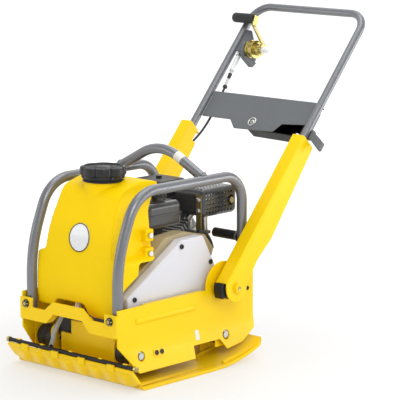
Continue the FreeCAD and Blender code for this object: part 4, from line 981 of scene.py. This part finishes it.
def sky(tree):
    """A dim surround that turns white behind the object."""
    coords = tree.nodes.new("ShaderNodeTexCoord")
    facing = tree.nodes.new("ShaderNodeVectorMath")
    facing.operation = "DOT_PRODUCT"
    facing.inputs[1].default_value = BACKDROP_SIDE
    tree.links.new(coords.outputs["Generated"], facing.inputs[0])
    level = tree.nodes.new("ShaderNodeMapRange")
    level.interpolation_type = "SMOOTHSTEP"
    tree.links.new(facing.outputs["Value"], level.inputs["Value"])
    level.inputs["From Min"].default_value = -0.2
    level.inputs["From Max"].default_value = 0.8
    level.inputs["To Min"].default_value = 0.5
    level.inputs["To Max"].default_value = 1.06
    tree.links.new(level.outputs[0], tree.nodes["Background"].inputs["Strength"])
    tree.nodes["Background"].inputs["Color"].default_value = (1, 1, 1, 1)


def studio():
    """Plain view colours, the surround and five soft lights."""
    scene = bpy.context.scene
    scene.view_settings.view_transform = "Standard"
    world = bpy.data.worlds.new("studio")
    scene.world = world
    world.use_nodes = True
    sky(world.node_tree)
    for name, (place, target, size, power) in LIGHTS.items():
        area_light(name, place, target, size, power)


def floor():
    """A pale floor that glows a little more away from the object, so that it ends in white."""
    near, far, glow_near, glow_far = 0.5, 2.6, 0.48, 0.82
    bm = bmesh.new()
    bmesh.ops.create_grid(bm, x_segments=2, y_segments=2, size=FLOOR_SIZE)
    mesh = bpy.data.meshes.new("floor")
    bm.to_mesh(mesh)
    bm.free()
    obj = bpy.data.objects.new("floor", mesh)
    bpy.context.scene.collection.objects.link(obj)
    s = Shader("floor_pale")
    pale = s.toned(rgb(165, 165, 165), s.swing(s.noise(1.5), 0.99, 1.01))
    s.link(pale, s.bsdf.inputs["Base Color"])
    s.set(Roughness=0.75)
    reach = s.tree.nodes.new("ShaderNodeVectorMath")
    reach.operation = "LENGTH"
    s.link(s.coords, reach.inputs[0])
    glow = s.span(reach.outputs["Value"], near, far, glow_near, glow_far)
    s.link(glow, s.bsdf.inputs["Emission Strength"])
    s.bsdf.inputs["Emission Color"].default_value = (1, 1, 1, 1)
    mesh.materials.append(s.mat)


def camera():
    """A long lens at the front right, slightly from above."""
    cam = bpy.data.cameras.new("camera")
    cam.lens = CAMERA_LENS
    cam.sensor_width = 36
    cam.clip_end = 60
    obj = bpy.data.objects.new("camera", cam)
    level = math.cos(CAMERA_PITCH)
    forward = Vector((-math.sin(CAMERA_AZIMUTH) * level, math.cos(CAMERA_AZIMUTH) * level,
                      -math.sin(CAMERA_PITCH)))
    obj.location = CAMERA_PLACE
    obj.rotation_euler = forward.to_track_quat("-Z", "Y").to_euler()
    bpy.context.scene.collection.objects.link(obj)
    bpy.context.scene.camera = obj


dress_nodes()
soften_nodes()
round_tank()
build_details()
studio()
floor()
camera()
